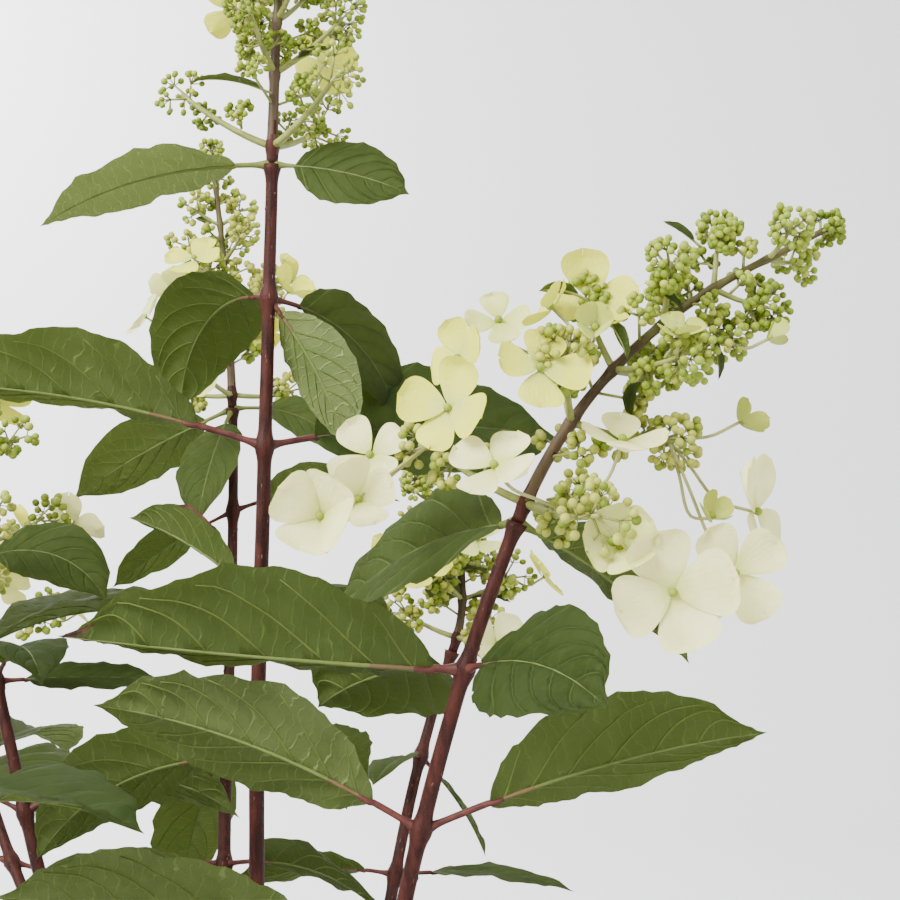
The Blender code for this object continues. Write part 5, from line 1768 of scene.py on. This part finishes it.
# %% Florets on their stalks
GREEN_BELOW = 0.0078
LEMON_FROM, LEMON_DRIFT = 0.33, 0.06
HALF_OPEN_BELOW, HALF_OPEN_EASE = 0.0095, 0.004
SOME_HALF_OPEN, HALF_OPEN_SHARE = 0.12, 0.6
PETAL_PAIR_LIFT = 0.0004
PETAL_ROOT_OFFSET = 0.0006
HEART_RADIUS, HEART_LIFT = 0.0012, 0.0008
FLORET_STALK_RADIUS = 0.00048
FLORET_STALK_SIDES = 6
FLORET_STALK_SPACING = 0.0025


def nearest_place(point, segments):
    """The place on the nearest of some straight segments."""
    best, place = 1e9, None
    for start, end in segments:
        share = np.clip((point - start) @ (end - start) / ((end - start) @ (end - start)), 0.15, 0.95)
        here = start + (end - start) * share
        if np.linalg.norm(point - here) < best:
            best, place = np.linalg.norm(point - here), here
    return place


def floret_tint(share, radius, dice):
    """Small florets are green, those high in the head lemon, the others cream."""
    if radius < GREEN_BELOW:
        return 3
    if share + dice.uniform(-LEMON_DRIFT, LEMON_DRIFT) > LEMON_FROM:
        return dice.choice((1, 1, 1, 1, 2))
    return dice.choice((0, 0, 0, 2))


def add_floret(name, centre, facing, radius, share, lines, dice):
    """Four petals in two crossed pairs, a bud in the middle and the stalk behind."""
    side = unit(np.cross(facing, heading(dice.uniform(0, 360), dice.uniform(20, 60))))
    spin = dice.uniform(0, 90)
    broad = dice.uniform(*PETAL_WIDTHS)
    tint = floret_tint(share, radius, dice)
    closed = float(smooth_step((HALF_OPEN_BELOW - radius) / HALF_OPEN_EASE))
    if dice.random() < SOME_HALF_OPEN:
        closed = max(closed, HALF_OPEN_SHARE)
    for number in range(4):
        outward = turned(side, facing, spin + 90 * number + dice.uniform(-7, 7))
        across = np.cross(facing, outward)
        lift = PETAL_PAIR_LIFT * (1 if number % 2 else -1)
        add_petal(NEAR_PETAL_LINES if name in NEAR_CANES else FAR_PETAL_LINES,
                  centre + facing * lift + outward * PETAL_ROOT_OFFSET, outward, across, facing,
                  radius * dice.uniform(0.92, 1.06), broad, closed, tint, dice)
    heart = centre + facing * HEART_LIFT
    add_bud(floret_hearts, BALLS.get(name, far_ball), heart, facing, HEART_RADIUS, 0, dice)
    root = nearest_place(centre - facing * 0.004, lines)
    behind = centre - facing * 0.006 + (root - centre) * 0.2
    bend = np.array([root, root * 0.55 + behind * 0.45, behind, centre - facing * 0.0003])
    line, places = fine_line(bend, FLORET_STALK_SPACING)
    add_tube(floret_stalks, line, np.full(len(line), FLORET_STALK_RADIUS), FLORET_STALK_SIDES)

# %% Every floret
floret_hearts, floret_stalks = Heap(), Heap()
for name, (path, branches, clusters, florets) in head_layouts.items():
    dice = random.Random("petals of " + name)
    lines = [(start, end) for start, end, radius in branches]
    for centre, facing, radius in florets:
        share = (centre[2] - path[0][2]) / (path[-1][2] - path[0][2])
        add_floret(name, centre, facing, radius, share, lines, dice)

# %% Colours of the florets
PETAL_COLOURS = (
    ((0.840, 0.820, 0.480), (0.740, 0.735, 0.360)), ((0.750, 0.750, 0.130), (0.670, 0.685, 0.080)),
    ((0.770, 0.775, 0.350), (0.660, 0.685, 0.230)), ((0.560, 0.590, 0.120), (0.450, 0.500, 0.075)))
PETAL_FOOT_TINT = (0.560, 0.620, 0.180)
PETAL_GLOW_LIFT = 1.12
petal_finishes = [
    living_finish("petal tint %d" % (number + 1), light, dark, mottle_scale=110, roughness=0.55, gloss=0.15,
                  cells=520, cell_share=0.2, relief=0.00005, foot_tint=PETAL_FOOT_TINT,
                  through=lifted(light, PETAL_GLOW_LIFT), through_share=0.42)
    for number, (light, dark) in enumerate(PETAL_COLOURS)]
stalk_tint = living_finish(
    "floret stalks", (0.350, 0.345, 0.120), (0.270, 0.260, 0.082), mottle_scale=200, roughness=0.5)
place_piece(petals.piece("petals", petal_finishes, sharp_angle=70), [])
place_piece(floret_hearts.piece("floret_hearts", bud_finishes[1:2]), [])
place_piece(floret_stalks.piece("floret_stalks", (stalk_tint,)), [])

# %% [markdown]
# ## Small leaves in the flower heads
#
# A narrow leaf stands under each low branch of a panicle, smaller from whorl to whorl. They are the same
# blades as below, with fewer veins.

# %% Bracts
BRACT_LENGTHS = (0.0, 0.021, 0.016, 0.012, 0.009, 0.0)
BRACT_FOLD = 22
BRACT_STALK = 0.003
BRACT_STALK_RINGS = 10
BRACT_STALK_SINK = 0.0002
BRACT_STALK_RADII = (0.0005, 0.00015)
BRACT_ROW_SPACING = 0.0026

# Small leaves that the photo shows in the two near heads. Each: its root's offset from the cane's tip to the
# right, back and up, then plan angle, rise and length.
SET_BRACTS = {
    "front_right": (
        (0.019, -0.010, 0.061, 180, 30, 0.011), (0.022, -0.010, 0.058, 0, -44, 0.013),
        (0.051, -0.008, 0.076, 180, 43, 0.010), (0.035, -0.010, 0.066, 0, -31, 0.010),
        (0.051, -0.008, 0.054, 0, -55, 0.013), (0.034, -0.010, 0.041, 180, -55, 0.010),
    ),
    "centre": ((0.000, -0.003, 0.023, 180, 24, 0.024), (0.006, -0.002, 0.033, 0, 30, 0.011)),
}
bracts, bract_stalks = Heap(), Heap()


def add_bract(start, turn, rise, length, dice):
    """A small blade on a short stalk, bent and rolled by chance."""
    bend, roll = dice.uniform(10, 50), dice.uniform(-40, 40)
    leaf = leaf_spec(start, turn, rise, bend, length, roll, BRACT_FOLD, BRACT_STALK)
    waves = margin_waves(dice)
    add_blade(bracts, leaf, dice, waves, dice.randrange(UPPER_TINTS), 0, BRACT_ROW_SPACING, FEW_COLUMNS)
    shares = np.linspace(-leaf["petiole"] / leaf["length"], 0.9, BRACT_STALK_RINGS)
    middle, across, upward = spine_places(leaf, leaf_spine(leaf), shares)
    radius = np.linspace(*BRACT_STALK_RADII, BRACT_STALK_RINGS)
    add_tube(bract_stalks, middle - upward * BRACT_STALK_SINK, radius, 5)


def add_rule_bracts(branches, dice):
    """A bract under each of the first two branches of every whorl that bears them."""
    number = 0
    for whorl, count in enumerate(WHORL_BRANCHES):
        for start, end, radius in branches[number:number + min(count, 2)]:
            if BRACT_LENGTHS[whorl]:
                way = unit(end - start)
                turn = math.degrees(math.atan2(way[1], way[0])) + dice.uniform(-25, 25)
                rise = math.degrees(math.asin(way[2])) - dice.uniform(5, 25)
                add_bract(start, turn, rise, BRACT_LENGTHS[whorl] * dice.uniform(0.7, 1.1), dice)
        number += count

# %% Every bract
for name, (path, branches, clusters, florets) in head_layouts.items():
    dice = random.Random("bracts of " + name)
    for right, back, up, turn, rise, length in SET_BRACTS.get(name, ()):
        add_bract(path[0] + np.array([right, back, up]), turn, rise, length, dice)
    if name not in SET_BRACTS:
        add_rule_bracts(branches, dice)
place_piece(bracts.piece("head_bracts", leaf_finishes, sharp_angle=70), [])
place_piece(bract_stalks.piece("bract_stalks", (twig_finish,)), [])

# %% [markdown]
# ## The woody crown
#
# All canes rise from one short stump, where the arms run into one another. Tubes that only cross would
# show hard creases, so the tubes are made one skin with a voxel remesh, and noise then lays bark on it.

# %% Stump and arms
CROWN_VOXEL = 0.0009
CROWN_RELIEF = 0.0009
STUMP_SIDES, ARM_SIDES, ARM_RINGS = 24, 16, 9
ARM_FROM, ARM_TO = 0.04, 1.04
ARM_END_SHARE = 1.12
BROAD_BARK_SCALES, FINE_BARK_SCALES = Vector((150, 150, 60)), Vector((420, 420, 110))
BROAD_BARK_SHARE = 0.7

# The stump's height above the soil and its radius as a share of the flare's
STUMP_PROFILE = (
    (0.0, 1.0), (0.002, 0.98), (0.006, 0.74), (0.011, 0.63), (0.018, 0.60), (0.024, 0.52), (0.0262, 0.30))
crown_heap = Heap()
stump_foot = np.array([0, 0, SOIL_TOP - 0.001])
stump_line = np.array([stump_foot + UP * height for height, share in STUMP_PROFILE])
stump_radii = np.array([share * STUMP_FLARE_RADIUS for height, share in STUMP_PROFILE])
add_tube(crown_heap, stump_line, stump_radii, STUMP_SIDES)
heart = np.array([0, 0, ARM_START_HEIGHT])
shares = np.linspace(ARM_FROM, ARM_TO, ARM_RINGS)
radii = ARM_RADIUS_START + (CANE_RADIUS_FOOT * ARM_END_SHARE - ARM_RADIUS_START) * smooth_step(shares)
for cane in CANES.values():
    way = heading(cane["foot_turn"], cane["foot_lean"])
    line = np.array([heart + way * ARM_LENGTH * share for share in shares])
    add_tube(crown_heap, line, radii, ARM_SIDES)

# %% One skin with bark on it
rough_crown = crown_heap.piece("rough_crown", (old_bark,))
remesh = rough_crown.modifiers.new("one skin", "REMESH")
remesh.mode = "VOXEL"
remesh.voxel_size = CROWN_VOXEL
skin = bpy.data.meshes.new_from_object(rough_crown.evaluated_get(bpy.context.evaluated_depsgraph_get()))
bpy.data.objects.remove(rough_crown, do_unlink=True)
for vertex in skin.vertices:
    coarse = noise.noise(vertex.co * BROAD_BARK_SCALES)
    ridges = abs(noise.noise(vertex.co * FINE_BARK_SCALES))
    vertex.co = vertex.co + vertex.normal * CROWN_RELIEF * (BROAD_BARK_SHARE * coarse - ridges)
skin.materials.clear()
skin.materials.append(old_bark)
skin.shade_smooth()
place_piece(new_object("root_crown_bark", skin), ["root_crown"])
print("crown triangles", 2 * len(skin.polygons))

# %% [markdown]
# ## The nursery pot
#
# A plain dark pot with a rolled rim, as plants are sold in. It is a turned shape, so one profile makes it.
# The rim, the foot and the step under the rim get small round edges, since it is the light on those edges
# that says plastic.

# %% Pot
POT_STEPS = 144
POT_EDGE = 0.0016
POT_EDGE_STEPS = 4
POT_RIM_TAPER = 0.001
POT_RIM_ROUND = 0.002


def rounded_profile(corners):
    """A profile whose inner corners are rounded off by arcs."""
    corners = [np.array(corner, dtype=float) for corner in corners]
    points = [corners[0]]
    for before, corner, after in zip(corners, corners[1:], corners[2:]):
        back, ahead = before - corner, after - corner
        reach = min(POT_EDGE, np.linalg.norm(back) * 0.45, np.linalg.norm(ahead) * 0.45)
        first, last = corner + unit(back) * reach, corner + unit(ahead) * reach
        for step in range(POT_EDGE_STEPS + 1):
            t = step / POT_EDGE_STEPS
            points.append((1 - t) ** 2 * first + 2 * t * (1 - t) * corner + t ** 2 * last)
    points.append(corners[-1])
    return points


rim_under = POT_HEIGHT - POT_RIM_HEIGHT
pot_outline = (
    (0, 0), (POT_FOOT_RADIUS, 0), (POT_WALL_TOP_RADIUS, rim_under), (POT_RIM_RADIUS, rim_under),
    (POT_RIM_RADIUS + POT_RIM_TAPER, POT_HEIGHT - POT_RIM_ROUND),
    (POT_RIM_RADIUS - POT_RIM_TAPER, POT_HEIGHT), (POT_WALL_TOP_RADIUS - POT_RIM_TAPER, POT_HEIGHT),
    (POT_WALL_TOP_RADIUS - POT_WALL, rim_under),
    (POT_FOOT_RADIUS - POT_WALL, POT_FLOOR), (0, POT_FLOOR))
pot_mesh = turned_mesh("pot_shell", rounded_profile(pot_outline), POT_STEPS)
pot_mesh.set_sharp_from_angle(angle=math.radians(50))
pot_mesh.materials.append(living_finish(
    "dark pot plastic", (0.016, 0.016, 0.017), (0.011, 0.011, 0.012), mottle_scale=40, roughness=0.46,
    gloss=0.5, cells=1500, cell_share=0.4, relief=0.00004))
place_piece(new_object("pot_shell", pot_mesh), ["pot"])

# %% [markdown]
# ## Potting soil
#
# Soil is crumbs of bark and peat on a rough bed. The bed is a turned solid whose top is pushed up and down
# by noise, and the crumbs are about a thousand broken lumps strewn on it in three tints.

# %% Soil bed
SOIL_RINGS, SOIL_STEPS = 34, 132
SOIL_RELIEF = 0.0022
SOIL_GAP = 0.0006
SOIL_FALL_FROM, SOIL_FALL_LENGTH = 0.04, 0.06
LUMPS_PER_METRE, FINE_LUMPS_PER_METRE = 70, 210
soil_floor = POT_FLOOR + SOIL_GAP
wall_slope = (POT_WALL_TOP_RADIUS - POT_FOOT_RADIUS) / (rim_under - POT_FLOOR)


def soil_height(x, y):
    """The soil's surface: it falls a little to the edge, and noise makes it uneven."""
    radius = math.hypot(x, y)
    fall = SOIL_EDGE_DROP * smooth_step((radius - SOIL_FALL_FROM) / SOIL_FALL_LENGTH)
    lumps = noise.noise(Vector((x * LUMPS_PER_METRE, y * LUMPS_PER_METRE, 0)))
    lumps += 0.5 * noise.noise(Vector((x * FINE_LUMPS_PER_METRE, y * FINE_LUMPS_PER_METRE, 3)))
    return SOIL_TOP - SOIL_GAP - fall + SOIL_RELIEF * lumps * 0.6


soil_foot_radius = POT_FOOT_RADIUS - POT_WALL - SOIL_GAP
soil_edge_radius = soil_foot_radius + wall_slope * (SOIL_TOP - SOIL_EDGE_DROP - POT_FLOOR)
profile = [(0, soil_floor), (soil_foot_radius, soil_floor)]
profile += [(soil_edge_radius * (1 - ring / SOIL_RINGS), SOIL_TOP) for ring in range(SOIL_RINGS + 1)]
soil_mesh = turned_mesh("soil_bed", profile, SOIL_STEPS)
for vertex in soil_mesh.vertices:
    if vertex.co.z > SOIL_TOP - 0.0001:
        vertex.co.z = soil_height(vertex.co.x, vertex.co.y)
soil_finish = living_finish(
    "dark peat", (0.030, 0.017, 0.010), (0.010, 0.006, 0.004), mottle_scale=220, roughness=0.92, gloss=0.2,
    cells=900, cell_share=0.5, relief=0.0003)
soil_mesh.materials.append(soil_finish)
place_piece(new_object("soil_bed", soil_mesh), ["potting_soil"])

# %% Crumbs on the bed
CRUMBS = 1100
CRUMB_SIZES = (0.0011, 0.0034)
SOME_LARGE, LARGE_CRUMB = 0.08, 1.5
CRUMBS_FROM_WALL = 0.004
CRUMB_RAISED = 0.15
CRUMB_SQUEEZES = ((0.7, 1.4), (0.5, 1.0), (0.35, 0.75))
crumb_ball = ball_mesh(bmesh.ops.create_icosphere, subdivisions=1, radius=1)
crumbs = Heap()
dice = random.Random("crumbs")
for number in range(CRUMBS):
    spin = dice.uniform(0, 2 * math.pi)
    far = (soil_edge_radius - CRUMBS_FROM_WALL) * math.sqrt(dice.random())
    x, y = far * math.cos(spin), far * math.sin(spin)
    size = dice.uniform(*CRUMB_SIZES) * (LARGE_CRUMB if dice.random() < SOME_LARGE else 1)
    squeeze = np.array([dice.uniform(*limits) for limits in CRUMB_SQUEEZES])
    points = crumb_ball[0] * squeeze * size * np.array([[dice.uniform(0.75, 1.2)] for each in crumb_ball[0]])
    turn = Matrix.Rotation(dice.uniform(0, 6.3), 3, "Z") @ Matrix.Rotation(dice.uniform(-0.5, 0.5), 3, "X")
    centre = np.array([x, y, soil_height(x, y) + size * CRUMB_RAISED])
    points = points @ np.array(turn).T + centre
    crumbs.add(points, triangles=crumb_ball[2], triangle_finish=dice.choice((0, 0, 1, 2)))
bark_chip, pale_chip = (
    living_finish(title, light, dark, mottle_scale=300, roughness=0.85, gloss=0.2)
    for title, light, dark in (
        ("bark chips", (0.070, 0.036, 0.019), (0.030, 0.015, 0.009)),
        ("pale grit", (0.180, 0.150, 0.115), (0.110, 0.090, 0.068))))
place_piece(crumbs.piece("soil_crumbs", (soil_finish, bark_chip, pale_chip), sharp_angle=30), [])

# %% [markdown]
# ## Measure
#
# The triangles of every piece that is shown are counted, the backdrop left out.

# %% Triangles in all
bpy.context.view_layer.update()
meshes = [piece.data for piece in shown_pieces() if piece.type == "MESH"]
print("triangles in all", sum(len(mesh.loop_triangles) for mesh in meshes))
